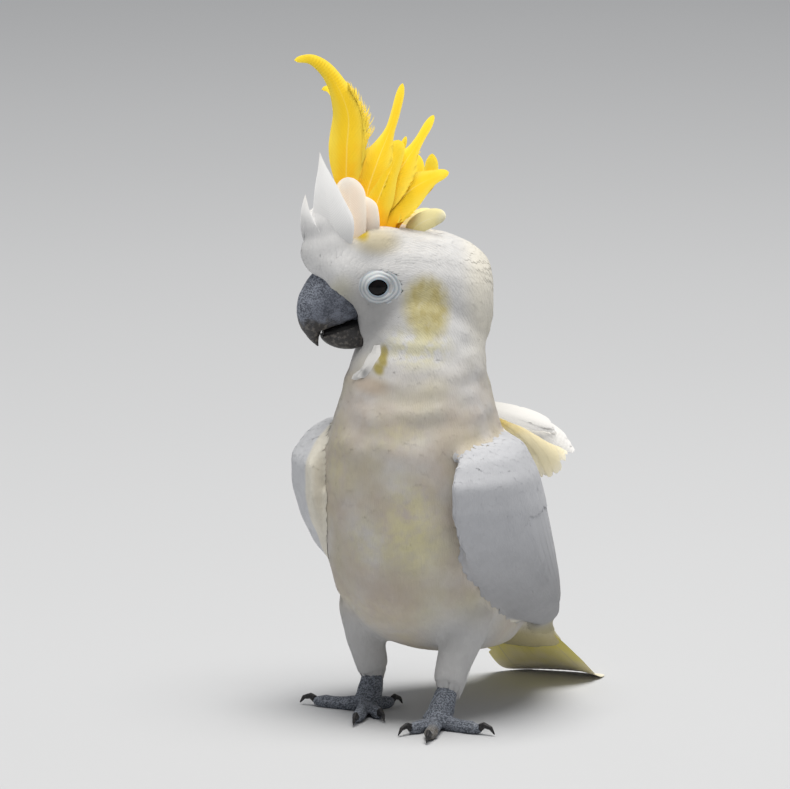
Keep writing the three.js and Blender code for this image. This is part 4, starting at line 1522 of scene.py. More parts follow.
        locks, stations = tract.locks, tract.stations
        a = np.linspace(-1, 1, locks) * (1 - 0.4 / locks)
        a = a[None] + rng.normal(0, 0.1 / locks, (count, locks))
        end = (1 - 0.3 * np.abs(a) ** 2) * rng.uniform(0.93, 1.05, (count, locks))
        start = 0.08 + 0.12 * np.abs(a)
        s = start[..., None] + (end - start)[..., None] * np.array(self.SHARES[stations])
        spreading = np.sin(np.minimum(s / 0.62, 1) * np.pi / 2) ** 0.8
        offset = a[..., None] * spreading * (length * tract.breadth / 2)[:, None, None]
        x = np.clip(s, 0, 1.15) * self.march
        i = np.minimum(x.astype(int), self.march - 1)
        frac = (x - i)[..., None]
        feather = np.arange(count)[:, None, None]
        middle = line[feather, i] * (1 - frac) + line[feather, i + 1] * frac
        facing = unit(up[feather, i] * (1 - frac) + up[feather, i + 1] * frac)
        run = flattened(line[feather, i + 1] - line[feather, i], facing)
        buried = (1 - np.clip(s, 0, 1)) ** self.RISE
        height = lift[:, None, None] * s**2 - sink[:, None, None] * buried
        spread = middle + across_of(run, facing) * offset[..., None]
        height = height + self.OVER_WING * np.isin(owners, WINGS)[:, None, None] * (1 - buried)
        height = height + rng.uniform(-self.UNEVEN, self.UNEVEN, (count, locks))[..., None]
        middle, facing = (v.reshape(spread.shape) for v in surface.nearest(spread.reshape(-1, 3)))
        middle = middle + facing * height[..., None]
        slope = np.gradient(middle, axis=2)
        widths = np.array(self.WIDTHS[stations])
        half = (length * tract.breadth / locks * self.FULL)[:, None, None] * widths * np.ones_like(s)

        soup = Soup()
        merge = (count * locks, stations)
        ways = flattened(slope, facing)
        line, ways, up = (v.reshape(*merge, 3) for v in (middle, ways, facing))
        along, across = np.clip(s, 0, 1), np.broadcast_to(a[..., None], s.shape)
        half, along, across = (v.reshape(merge) for v in (half, along, across))
        places = np.repeat(body.unwrap(at, owners), locks, 0)
        tone = np.repeat(rng.random(count), locks) * 0.7 + rng.random(count * locks) * 0.3
        on_wing = "wing" in tract.name
        strips(soup, line, ways, up, half, self.RIDGE, places, along, across, tone, self.ROUND, on_wing)
        soup.build(tract.name, material, tract.slot, tract.nodes)


# ---- Large feathers ----


@dataclass(frozen=True)
class Vane:
    """How a large feather is built, apart from where it lies.

    Attributes:
        thickness: Its thickness in the middle.
        cup: How far its edges bend down, as a share of its half width.
        shaft: How far the shaft stands over it at the root.
        notches: How many splits its edges have.
        columns: Points across it.
        smooth: The share of its normals taken from the body's surface.
        lit: How far its normals lean up, as light from above comes through a thin vane.
    """

    thickness: float = 0.3
    cup: float = 0.0
    shaft: float = 0.25
    notches: int = 2
    columns: int = 9
    smooth: float = 0.0
    lit: float = 0.0

    def grow(
        self, soup: Soup, grid: Array, facing: Array, halves: Array, rng: Draws,
        place: Pair = (0.5, 0.5), under: float = 0.0,
    ) -> None:  # fmt: skip
        """Adds the feather to a mesh.

        Args:
            soup: The mesh.
            grid: Points of its face, station by column by 3.
            facing: The way its face looks at each.
            halves: Its half width at each station.
            rng: For splits and tone.
            place: Its root's place in the UV map.
            under: Marks its underside for the finish.
        """
        stations, columns = grid.shape[:2]
        t, c = np.linspace(0, 1, stations)[:, None], np.linspace(-1, 1, columns)[None]
        middle = grid[:, columns // 2][:, None]
        pinch = np.ones((stations, columns))
        for k in range(self.notches):
            at, deep = rng.uniform(0.3, 0.97), rng.uniform(0.1, 0.3)
            cut = np.exp(-(((t - at + 0.05 * np.abs(c)) / 0.012) ** 2)) * deep
            pinch = pinch - cut * (c * (-1) ** k > 0) * np.abs(c) ** 2
        top = middle + (grid - middle) * pinch[..., None]
        drop = self.cup * halves[:, None] * c**2
        rise = self.shaft * (1 - t) * np.exp(-((c * columns / 1.6) ** 2)) - drop
        top = top + facing * rise[..., None]
        thick = self.thickness * (1 - 0.75 * np.abs(c) ** 3) * (1 - 0.5 * t)
        bottom = (top - facing * thick[..., None])[:, ::-1]
        points, faces = lofted(np.concatenate([top, bottom], 1))
        normals = vertex_normals(points, faces)
        shared = np.concatenate([facing, -facing[:, ::-1]], 1).reshape(-1, 3)
        normals[: len(shared)] = unit(normals[: len(shared)] * (1 - self.smooth) + shared * self.smooth)

        def both(values: Array, ends: Pair) -> Array:
            """Values of the face's points, for both faces and the two ends."""
            whole = np.broadcast_to(values, (stations, columns))
            return np.concatenate([np.concatenate([whole, whole[:, ::-1]], 1).ravel(), ends])

        along, across = both(t, (0, 1)), both(c, (0, 0))
        offsets = np.stack([across, along * 2 - 1], -1) * (PATCH / 2)
        marks = np.repeat([[0.0] * columns + [under] * columns], stations, 0)
        lower = np.concatenate([marks.ravel(), (0, 0)])
        tone = np.full(len(points), rng.random())
        numbers = {"along": along, "across": across, "tone": tone, "scale": lower}
        soup.add(points, faces, normals, np.array(place) + offsets, None, self.lit, **numbers)

    def on_line(
        self, soup: Soup, line: Array, across: Array, halves: Array, rng: Draws, lean: float = 0.0
    ) -> None:
        """Adds a feather that stands free, round its shaft's line.

        Args:
            soup: The mesh.
            line: The shaft's points.
            across: The way its width runs at the root.
            halves: Its half width at each.
            rng: For splits and tone.
            lean: How far its edges lie nearer the tip than the shaft does, as a share of the half width.
        """
        ways = unit(np.gradient(line, axis=0))
        facing = flattened(np.cross(across, line[len(line) // 2] - line[0])[None], ways)
        side = unit(np.cross(ways, facing))
        c = np.linspace(-1, 1, self.columns)[None, :, None]
        reach = halves[:, None, None]
        fade = np.linspace(1, 0, len(line))[:, None, None] ** 0.5
        grid = line[:, None] + side[:, None] * c * reach + ways[:, None] * c**2 * reach * lean * fade
        self.grow(soup, grid, np.broadcast_to(facing[:, None], grid.shape), halves, rng)


def tapered(t: Array, half: float, root: float = 0.35, blunt: float = 2.6) -> Array:
    """Half widths of a round-ended feather, from its root to its tip."""
    widening = root + (1 - root) * np.sin(np.clip(t / 0.55, 0, 1) * np.pi / 2)
    ending = np.clip(1 - np.clip((t - 0.55) / 0.45, 0, 1) ** blunt, 0, 1) ** 0.55
    return half * widening * np.maximum(ending, 0.02)


@dataclass(frozen=True)
class Row:
    """One row of a wing's long feathers, from the wing's front to its rear.

    Attributes:
        count: How many.
        root_u: How far down the wing their roots are, at the front and the rear.
        tip_u: How far down their tips are, at the front, in the middle and at the rear.
        root_s: The first and the last root's place across the wing.
        tip_s: The same of their tips.
        half: Half width.
        level: How high the row lies over the wing.
    """

    count: int
    root_u: Pair
    tip_u: Triple
    root_s: Pair
    tip_s: Pair
    half: float
    level: float


@dataclass(frozen=True)
class WingFeathers:
    """The folded wing's flight feathers.

    Attributes:
        rows: The rows of flight feathers.
        vane: How each is built.
        stations: Stations along one.
        sunk: How far under the wing its root starts.
        slope: How much lower its rear edge lies, under the next one.
    """

    rows: tuple[Row, ...] = (
        Row(9, (0.28, 0.31), (0.9, 0.97, 1.0), (0.16, 0.8), (0.22, 0.82), 7.2, 0.25),
        Row(13, (0.13, 0.15), (0.78, 0.86, 0.86), (0.13, 0.88), (0.17, 0.88), 7.6, 0.4),
    )
    vane: Vane = Vane(thickness=0.14, shaft=0.06, notches=1, columns=9, smooth=0.9)
    stations: int = 40
    sunk: float = 1.2
    slope: float = 0.09

    def laid(self, surface: Surface, grid: Array, facing: Array) -> Arrays:
        """Draws a vane down onto the flesh, where it lies close under it.

        Args:
            surface: The flesh's surface.
            grid: The vane's points.
            facing: Its normals.

        Returns:
            New points and normals.
        """
        at, normal = (v.reshape(grid.shape) for v in surface.nearest(grid.reshape(-1, 3)))
        away = np.linalg.norm(at - grid, axis=-1, keepdims=True)
        share = step(6 - away, 0, 3) * step((normal * facing).sum(-1, keepdims=True), 0.2, 0.6)
        return grid + (at - grid) * share, unit(facing + (normal - facing) * share)

    def build(self, wing: WingForm, surface: Surface, material: Material) -> None:
        """Builds one wing's long feathers as one mesh.

        Args:
            wing: The folded wing.
            surface: The flesh that they lie on.
            material: The finish.
        """
        soup, rng = Soup(), np.random.default_rng(31 + wing.side.value)
        t = np.linspace(0, 1, self.stations)
        c = np.linspace(-1, 1, self.vane.columns)
        for row in self.rows:
            for k in range(row.count):
                share = k / (row.count - 1)
                root_u, root_s, tip_s = (
                    np.interp(share, [0, 1], ends) for ends in (row.root_u, row.root_s, row.tip_s)
                )
                tip_u = np.interp(share, [0, 0.5, 1], row.tip_u) + rng.normal(0, 0.004)
                u = root_u + (tip_u - root_u) * t
                s = root_s + (tip_s - root_s) * t
                halves = tapered(t, row.half, 0.6)
                chord = np.linalg.norm(wing.place(u, 1) - wing.place(u, 0), axis=1)
                columns = s[:, None] + c[None] * (halves / chord)[:, None]
                rows = np.broadcast_to(u[:, None], columns.shape)
                facing = wing.facing(rows, np.clip(columns, 0.01, 0.99))
                buried = (1 - step(t, 0, 0.5))[:, None]
                height = row.level - (self.sunk + row.level) * buried - self.slope * c[None]
                grid, facing = self.laid(surface, wing.place(rows, columns), facing)
                grid = grid + facing * height[..., None]
                place = (0.05 + 0.9 * root_u, 0.05 + 0.4 * root_s)
                self.vane.grow(soup, grid, facing, halves, rng, place, 1.0)
        soup.build(f"flight_{wing.side.word}", material, Slot.WHITE, (f"wing_{wing.side.word}",))


@dataclass(frozen=True)
class Hem:
    """The ragged lower end of a feathered leg.

    Attributes:
        count: How many feathers hang there.
        top: The height between which their roots lie.
        ends: How low they reach in front and behind.
        hug: How far they draw in to the bare leg.
    """

    count: int = 260
    top: Pair = (22.0, 40.0)
    ends: Pair = (20.0, 15.5)
    hug: float = 0.5

    def build(self, side: Side, body: Body, material: Material) -> None:
        """Builds one leg's hem as one mesh.

        Args:
            side: The leg's side.
            body: The flesh.
            material: The finish.
        """
        rng = np.random.default_rng(90 + side.value)
        flesh = body.nodes[Owner[f"LEG_{side.name}"]][0]
        low = flesh[flesh[:, 2] < flesh[:, 2].min() + 6].mean(0)
        angle = rng.uniform(0, 2 * np.pi, self.count)
        out = np.stack([np.cos(angle), np.sin(angle), np.zeros_like(angle)], -1)
        height = rng.uniform(*self.top, self.count)
        start, normal = body.surface.nearest(low * (1, 1, 0) + out * 9 + height[:, None] * UP)
        end = np.interp(out[:, 1], [-1, 1], self.ends) + rng.normal(0, 1.1, self.count)
        middle = np.array([*body.foot_axis(side), 0.0])
        tip = middle + (start - middle) * (1, 1, 0) * (1 - self.hug) + end[:, None] * UP
        run = np.array([0, 0.35, 0.75, 1.0])[None, :, None]
        line = start[:, None] * (1 - run) + tip[:, None] * run
        bow = normal * (1, 1, 0) * 0.9
        line = line + bow[:, None] * (np.sin(np.pi * run) - 0.6 * (1 - run))
        ways = unit(np.gradient(line, axis=1))
        facing = flattened(np.repeat(normal[:, None], 4, 1), ways)
        widths = np.array([[0.8, 1.2, 0.9, 0]]) * rng.uniform(0.8, 1.2, (self.count, 1))
        along = np.repeat(run[..., 0], self.count, 0)
        places = body.unwrap(start, np.full(self.count, Owner.TRUNK.value))
        soup = Soup()
        strips(soup, line, ways, facing, widths, 0.12, places, along, along * 0, rng.random(self.count), 0.2)
        soup.build(f"hem_{side.word}", material, Slot.WHITE, (f"leg_{side.word}",))


@dataclass(frozen=True)
class TailFeathers:
    """The tail's six pairs, the middle pair on top.

    Attributes:
        pairs: How many pairs there are.
        form: The fan that they lie on.
        vane: How each feather is built.
        stations: Stations along one.
        fan: How far out the outermost middle line could lie, as a share of the fan.
        stack: How much lower each pair lies than the one over it.
        floor: How far the middle lines stay above the floor.
    """

    pairs: int = 6
    form: TailForm = TailForm()
    vane: Vane = Vane(thickness=0.3, shaft=0.3, notches=4, columns=9, smooth=0.3)
    stations: int = 40
    fan: float = 0.74
    stack: float = 0.24
    floor: float = 0.4

    def build(self, material: Material) -> None:
        """Builds the tail as one mesh.

        Args:
            material: The finish.
        """
        soup, rng = Soup(), np.random.default_rng(41)
        t = np.linspace(0, 1, self.stations)
        c = np.linspace(-1, 1, self.vane.columns)
        for pair in range(self.pairs):
            for side in Side:
                out = (pair + 0.5) / self.pairs * self.fan * side.value
                along = 0.22 + (0.775 - 0.005 * pair + rng.normal(0, 0.003)) * t
                halves = tapered(t, 9.6 - 0.3 * pair, 0.55)
                centre = out * (0.75 + 0.25 * step(t, 0, 0.9))
                columns = centre[:, None] + c[None] * (halves / 30)[:, None]
                rows = np.broadcast_to(along[:, None], columns.shape)
                facing = self.form.facing(rows, columns)
                level = 1.3 - self.stack * pair - 0.1 * c[None] * side.value
                level = level + 0.5 * (side is Side.LEFT) / self.pairs
                level = level * (1 - 0.8 * step(t, 0.45, 1))[:, None]
                grid = self.form.place(rows, columns) + facing * level[..., None]
                grid[..., 2] = np.maximum(grid[..., 2], self.floor)
                self.vane.grow(soup, grid, facing, halves, rng, (0.5 + out / 3, 0.2), 1.0)
        for part in soup.points:
            part[:, 2] = np.maximum(part[:, 2], 0.05)
        soup.build("tail_feathers", material, Slot.TAIL, ("tail",))


@dataclass(frozen=True)
class CrestFeather:
    """One feather of the raised crest, on the bird's left; its twin stands on the right.

    Attributes:
        name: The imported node's name without its side.
        line: The shaft's points: ahead of, left of and above the head's centre.
        widths: Widths from root to tip.
        turn: How far the vane is swung inwards, in degrees.
        twin: The right one's scale, and its tip's shift ahead.
        slot: The record's slot.
        barbs: How many loose barbs stand off its rear edge, their length and how far up it they start.
        round_from: Where along it its end begins to round off.
        also: Lines and widths of more vanes from the same root.
    """

    name: str
    line: tuple
    widths: tuple
    turn: float
    twin: Pair
    slot: Slot = Slot.YELLOW
    barbs: tuple[int, float, float] = (0, 0, 0)
    also: tuple = ()
    round_from: float = 0.91


CREST = (
    CrestFeather(
        "crest_white_1",
        ((60, 3, 20), (67.8, 3.5, 36), (71.8, 3.5, 51), (71.8, 3, 62.5)),
        (3, 7, 12, 13, 11, 7.5, 4, 0.8), 42, (0.94, 0), Slot.WHITE,
    ),
    CrestFeather(
        "crest_white_2",
        ((48, 6, 24), (56, 8.5, 45), (60.5, 8, 66), (63.6, 5, 87.5)),
        (5, 14, 22, 25, 22, 18, 14, 9, 4, 0.8), 26, (0.93, -1), Slot.WHITE,
    ),
    CrestFeather(
        "crest_cream_1",
        ((42, 6, 28), (45.5, 9.5, 50), (48, 10, 73)),
        (10, 13, 16, 18, 19, 19, 18), 26, (0.95, -1), Slot.CREAM, round_from=0.7,
    ),
    CrestFeather(
        "crest_cream_2",
        ((34, 6, 30), (38.5, 10.5, 46), (41.5, 11.5, 62)),
        (8, 13, 17, 19, 19.5, 19, 17), 20, (0.95, -2), Slot.CREAM, round_from=0.7,
    ),
    CrestFeather(
        "crest_yellow_1",
        (
            (40, 2, 34), (47, 4, 62), (47.6, 5.5, 88), (46.8, 5, 110),
            (55.8, 3.5, 131), (67, 2.5, 141.4), (78, 2, 141.6),
        ),
        (4, 6.5, 12, 20.5, 21, 17, 11, 7.8, 3.4), 18, (0.83, -10.5), Slot.YELLOW, (130, 13, 0.38),
        round_from=0.97,
    ),
    CrestFeather(
        "crest_yellow_2",
        ((34, 4, 34), (36, 6, 59), (29.8, 7.5, 81), (20.8, 8, 104), (14.8, 8, 127)),
        (7, 11, 15, 18, 19.5, 18.5, 11, 6, 5.4, 5.2, 4.4), 17, (0.6, -4), Slot.YELLOW, (8, 5, 0.3),
    ),
    CrestFeather(
        "crest_yellow_3",
        ((29, 5, 34), (31, 7, 52), (20.8, 8.5, 70), (8, 9.5, 89), (-3.5, 9.5, 108)),
        (7, 12, 16, 19, 20, 19, 16, 8, 5.4, 5.2, 4.4), 17, (0.8, 6), Slot.YELLOW, (10, 6, 0.4),
        (
            (
                ((29, 5, 34), (31, 7.5, 52), (26, 9, 68), (20, 9.5, 82), (17.5, 9.5, 94)),
                (7, 12, 16, 18, 17, 14, 11, 9.5, 9, 9),
            ),
        ),
    ),
    CrestFeather(
        "crest_yellow_4",
        ((24, 6, 34), (25, 8, 49), (12, 9.5, 63), (-1, 10, 70.5), (-12.5, 9.5, 74)),
        (8, 13, 18, 21.5, 22, 21.5, 19, 15, 10, 7, 5.5), 17, (0.95, 4), Slot.YELLOW, (26, 8, 0.2),
        (
            (
                ((24, 6, 34), (22, 7, 50), (9, 7.5, 63), (-1, 7.5, 71), (-3, 7.5, 85)),
                (8, 14, 19, 20, 19, 17, 15, 12, 9, 7.5, 5),
            ),
        ),
    ),
    CrestFeather(
        "crest_pale",
        ((12, 4, 33), (7, 7.5, 42), (-2, 9, 47), (-11, 8.5, 48)),
        (5, 8, 11, 12, 12, 10, 6), 10, (0.9, 0), Slot.CREAM,
    ),
)  # fmt: skip


@dataclass(frozen=True)
class Crest:
    """The raised crest: two rows of feathers, white in front, then cream, then yellow.

    Attributes:
        vane: How each is built.
        stations: Stations along one.
        twin_width: How wide the right row's feathers are, as a share of the left row's.
    """

    vane: Vane = Vane(thickness=0.5, cup=0.07, shaft=0.2, notches=0, columns=15, lit=1.2)
    stations: int = 72
    twin_width: float = 0.8

    def line(self, feather: CrestFeather, side: Side, t: Array, shape: tuple | None = None) -> Array:
        """Points of a feather's shaft.

        Args:
            feather: The feather.
            side: The row that it stands in.
            t: Shares of its length.
            shape: The points of another line than its own.

        Returns:
            A point for each share.
        """
        scale, shift = (1.0, 0.0) if side is Side.LEFT else feather.twin
        rows = np.array(shape or feather.line, float)
        reach = np.linspace(0, 1, len(rows)) ** 3
        rows[:, 0] = rows[0, 0] + (rows[:, 0] - rows[0, 0]) * scale + shift * reach
        rows[:, 2] = rows[0, 2] + (rows[:, 2] - rows[0, 2]) * scale
        run = np.linspace(0, 1, 200)
        dense = spline(rows, run)
        length = np.concatenate([[0], np.cumsum(np.linalg.norm(np.diff(dense, axis=0), axis=1))])
        f, l, z = spline(rows, np.interp(t, length / length[-1], run)).T
        return PLACES.at(f, l * side.value, z)

    def across(self, feather: CrestFeather, side: Side) -> Array:
        """The way a feather's width runs: forwards, swung inwards."""
        turn = math.radians(feather.turn)
        return math.cos(turn) * PLACES.ahead - side.value * math.sin(turn) * PLACES.left

    def loose(self, soup: Soup, feather: CrestFeather, side: Side, rng: Draws) -> None:
        """Adds the loose barbs that stand off a feather's rear edge.

        Args:
            soup: The mesh.
            feather: The feather.
            side: The row that it stands in.
            rng: For the barbs' places and lengths.
        """
        count, reach, start = feather.barbs
        t = rng.uniform(start, start + 0.34, count)
        middle = self.line(feather, side, t)
        ways = unit(self.line(feather, side, t + 0.01) - middle)
        back = -unit(self.across(feather, side) - ways * (ways @ self.across(feather, side))[:, None])
        facing = unit(np.cross(ways, back)) * side.value
        half = spline(feather.widths, t) / 2
        run = np.linspace(0, 1, 7)[None, :, None]
        length = reach * rng.uniform(0.5, 1.1, count) * np.interp(t - start, [0, 0.1, 0.34], [0.8, 1.0, 0.4])
        length = length[:, None, None]
        spread = rng.uniform(0.25, 0.85, count)[:, None, None]
        out = back[:, None] * (run - 0.42 * run**2) * spread
        out = out + ways[:, None] * run**1.25 * (1.15 - 0.5 * spread)
        bend = facing[:, None] * run**2 * rng.normal(0, 0.16, count)[:, None, None]
        line = (middle + back * (half * 0.86)[:, None])[:, None] + (out + bend) * length
        up = np.repeat(facing[:, None], 7, 1)
        widths = np.repeat(np.array([[0.3, 0.28, 0.25, 0.22, 0.18, 0.12, 0]]), count, 0)
        tone = rng.random(count)
        along = np.repeat(0.55 + 0.3 * tone[:, None], 7, 1)
        ways, places = np.gradient(line, axis=1), np.full((count, 2), 0.5)
        strips(soup, line, ways, up, widths, 0.1, places, along, along * 0 + 0.9, tone, lit=self.vane.lit)

    def build(self, materials: dict[Slot | str, Material]) -> None:
        """Builds each feather as a piece of its own.

        Args:
            materials: The finishes by slot, and by name for a feather with its own.
        """
        t = np.linspace(0, 1, self.stations)
        for number, feather in enumerate(CREST):
            for side in Side:
                rng = np.random.default_rng(60 + 2 * number + (side is Side.RIGHT))
                soup = Soup()
                across = self.across(feather, side) * -side.value
                near_end = np.clip((t - feather.round_from) / (1 - feather.round_from), 0, 1)
                blunt = np.sqrt(np.clip(1 - near_end**2, 0.004, 1))
                for shape, widths in ((feather.line, feather.widths), *feather.also):
                    halves = spline(widths, t) / 2 * blunt
                    halves = halves * (1.0 if side is Side.LEFT else self.twin_width)
                    line = self.line(feather, side, t, shape)
                    self.vane.on_line(soup, line, across, halves, rng, 0.25)
                if feather.barbs[0]:
                    self.loose(soup, feather, side, rng)
                name = f"{feather.name}_{side.word}"
                material = materials.get(feather.name, materials[feather.slot])
                soup.build(f"feather_{name}", material, feather.slot, (name,))


@dataclass(frozen=True)
class Plume:
    """A few loose feathers that spread from one line.

    Attributes:
        name: The piece's name.
        nodes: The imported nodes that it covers.
        line: Its middle line.
        across: The way its width runs.
        width: The whole group's width at its tip.
        count: How many feathers.
        half: Each one's half width.
        in_head: Whether its line is given from the head's centre, on the left side.
        hug: How closely it lies on the body.
        pinch: How far the group draws together at its end.
        vane: How each feather is built.
    """

    OVER = (0.3, 1.1)  # a hugging feather's height over the body at its root, and how much it gains
    ROUNDS = 16  # how often its way down to the body is smoothed

    name: str
    nodes: tuple[str, ...]
    line: tuple
    across: Triple
    width: float
    count: int
    half: float
    in_head: bool = False
    hug: float = 0.0
    pinch: float = 0.0
    vane: Vane = Vane(thickness=0.3, cup=0.12, shaft=0.1, notches=3, columns=9, lit=1.2)

    def feathers(self, soup: Soup, side: Side, body: Body, rng: Draws) -> None:
        """Adds the feathers of one side.

        Args:
            soup: The mesh.
            side: The side.
            body: The flesh that they may hug.
            rng: For their lengths and tone.
        """
        t = np.linspace(0, 1, 26)
        rows = np.array(self.line, float)
        across = np.array(self.across, float)
        if self.in_head:
            rows = PLACES.at(rows[:, 0], rows[:, 1] * side.value, rows[:, 2])
            across = PLACES.at(across[0], across[1] * side.value, across[2]) - PLACES.head
        else:
            rows = rows + PLACES.shift
        line = spline(rows, t)
        ways = unit(np.gradient(line, axis=0))
        face = unit(np.cross(across, ways))
        sideways = unit(np.cross(ways, face))
        flip = side.value if self.in_head else 1
        for k in range(self.count):
            a = (k + 0.5) / self.count * 2 - 1
            reach = (1 - 0.22 * a * a) * rng.uniform(0.92, 1.04)
            own = np.stack([np.interp(t * reach, t, column) for column in line.T], 1)
            spread = (0.25 + 0.75 * t[:, None]) * (1 - self.pinch * t[:, None] ** 2)
            own = own + sideways * (a * self.width / 2 * spread)
            own = own + face * flip * (rng.uniform(-0.3, 0.3) - 0.5 * abs(a))
            if self.hug:
                at, normal = body.surface.nearest(own)
                moved = at + normal * (self.OVER[0] + self.OVER[1] * t[:, None]) - own
                for _ in range(self.ROUNDS):
                    ends = np.concatenate([moved[:1], moved, moved[-1:]])
                    moved = (ends[:-2] + 2 * moved + ends[2:]) / 4
                own = own + moved * self.hug
            self.vane.on_line(soup, own, across * flip, tapered(t, self.half, 0.5), rng, 0.2)

    def build(self, body: Body, material: Material) -> None:
        """Builds the group as one mesh."""
        soup, rng = Soup(), np.random.default_rng(len(self.name) * 7 + self.count)
        for side in Side if self.in_head else (Side.LEFT,):
            self.feathers(soup, side, body, rng)
        soup.build(self.name, material, Slot.WHITE, self.nodes)


LIE_ACROSS = (-0.28, -0.375, -0.83)
PLUMES = (
    *(
        Plume(f"plume_{name}", (f"scapular_{name}",), line, LIE_ACROSS, *sizes)
        for name, line, sizes in (
            ("upper", ((27, 40, 186), (38, 56, 180), (47, 71, 173.5), (55, 88, 165.5)), (8, 4, 3.4)),
            ("middle", ((32, 56, 179), (43, 71, 173), (52, 84, 164), (60, 97, 153)), (8, 4, 3.2)),
            ("fan", ((30, 58, 177), (39, 73, 167), (46, 84, 154), (49, 91, 138)), (27, 11, 3.4)),
        )
    ),
    Plume(
        "cheek_curl",
        ("head",),
        ((27.5, 23, -26), (27.2, 24, -33), (28.6, 23, -38.6), (32.5, 20, -44), (39.5, 15, -49)),
        (0.9, -0.1, 0.2), 9, 6, 2.9, in_head=True, hug=1.0, pinch=0.6,
        vane=Vane(thickness=0.3, shaft=0, notches=0, smooth=0.6, lit=1.2),
    ),
)  # fmt: skip


# ---- Bill, eyes and feet ----


@dataclass(frozen=True)
class Bill:
    """The hooked upper mandible, the scoop of the lower one and the dark mouth between them, whose near-black
    is its own dark colour and painted shade in the gap.

    Attributes:
        upper: From forehead to hook: the ridge's and the cutting edge's places, and the half width.
        lower: From root to tip: place, top, bottom and half width.
        gap: The mouth's lining, near-black for its own colour and for painted shade in the gap: place, top,
            bottom and half width.
        ridge_narrowing: How much narrower the upper one is at its ridge.
    """

    upper: tuple = (
        (50, 26, 34, -6, 11.5), (62, 19.5, 42, -12, 12.4), (70, 11.5, 48, -14.5, 12), (75, 2, 53, -16, 10.8),
        (76.3, -7, 57, -17.2, 9), (74.6, -15.5, 60.5, -18.6, 6.6), (70.6, -21.6, 62.8, -20.8, 4.2),
        (67, -25.6, 63.4, -24.4, 2.2), (64.2, -28, 63.3, -27.6, 0.7),
    )  # fmt: skip
    lower: tuple = (
        (33, -8, -26, 9.5), (40, -10.5, -29.4, 10.6), (48, -13.8, -30, 10.2),
        (55, -16.8, -28.4, 8.6), (59.5, -18.8, -25.8, 6.4), (61.8, -20, -23.4, 4.2),
    )  # fmt: skip
    gap: tuple = (
        (31, -8, -16, 8), (40, -11, -18, 8.8), (48, -13.6, -20, 8.4),
        (56, -16, -22, 6.4), (61, -18, -22, 3.4),
    )  # fmt: skip
    ridge_narrowing: float = 0.22

    def shell(self, soup: Soup, rings: Array, numbers: dict, rough: float) -> None:
        """Adds one closed horn form with a scuffed surface.

        Args:
            soup: The mesh.
            rings: Its rings of points.
            numbers: The attributes of those points.
            rough: How deep its scuffs are.
        """
        points, faces = lofted(rings)
        normal = vertex_normals(points, faces)
        scuffs = lumps(points, (5, 5, 4), 3.0) * 0.22 + lumps(points, (1.7, 1.7, 1.2), 8.0) * 0.1
        points = points + normal * (scuffs * rough)[:, None]
        for key, value in numbers.items():
            numbers[key] = np.concatenate([value.ravel(), (value[0].mean(), value[-1].mean())])
        soup.add(points, faces, **numbers)

    def build(self, material: Material) -> None:
        """Builds both mandibles.

        Args:
            material: The finish.
        """
        t = np.linspace(0, 1, 84)
        angle = circle(72)
        c, n = np.cos(angle)[None], np.sin(angle)[None]
        rf, rz, ef, ez, half = (column[:, None] for column in spline(self.upper, t).T)
        notch = 1.7 * np.exp(-(((t[:, None] - 0.66) / 0.035) ** 2)) * np.clip(-n, 0, 1) ** 2
        reach = np.sign(n) * np.abs(n) ** 0.92
        width = half * c * np.where(n > 0, 1 - self.ridge_narrowing * n, 1 + 0.0 * n)
        f = (rf + ef) / 2 + (rf - ef) / 2 * reach
        z = (rz + ez) / 2 + (rz - ez) / 2 * reach + notch
        soup = Soup()
        shape = np.broadcast_shapes(f.shape, width.shape)
        numbers = {"along": np.broadcast_to((n + 1) / 2, shape), "scale": np.zeros(shape)}
        self.shell(soup, PLACES.at(f, width, z), numbers, 1.0)
        soup.build("mandible_upper", material, Slot.BILL, ("bill_upper",))

        soup = Soup()
        # The lining's dark mark is its own colour and painted shade between the mandibles.
        for rows, dark, rough in ((self.lower, 0.0, 1.0), (self.gap, 1.0, 0.3)):
            f, top, bottom, half = (column[:, None] for column in spline(rows, t[::2]).T)
            hollow = (1 - dark) * 1.6 * step(f, 44, 60) * np.clip(n, 0, 1) * (1 - np.abs(c)) ** 0.5
            z = (top + bottom) / 2 + (top - bottom) / 2 * n - hollow
            shape = np.broadcast_shapes(f.shape, z.shape)
            numbers = {"along": np.full(shape, 0.3), "scale": np.full(shape, dark)}
            self.shell(soup, PLACES.at(np.broadcast_to(f, shape), half * c, z), numbers, rough)
        soup.build("mandible_lower", material, Slot.BILL, ("bill_lower",))


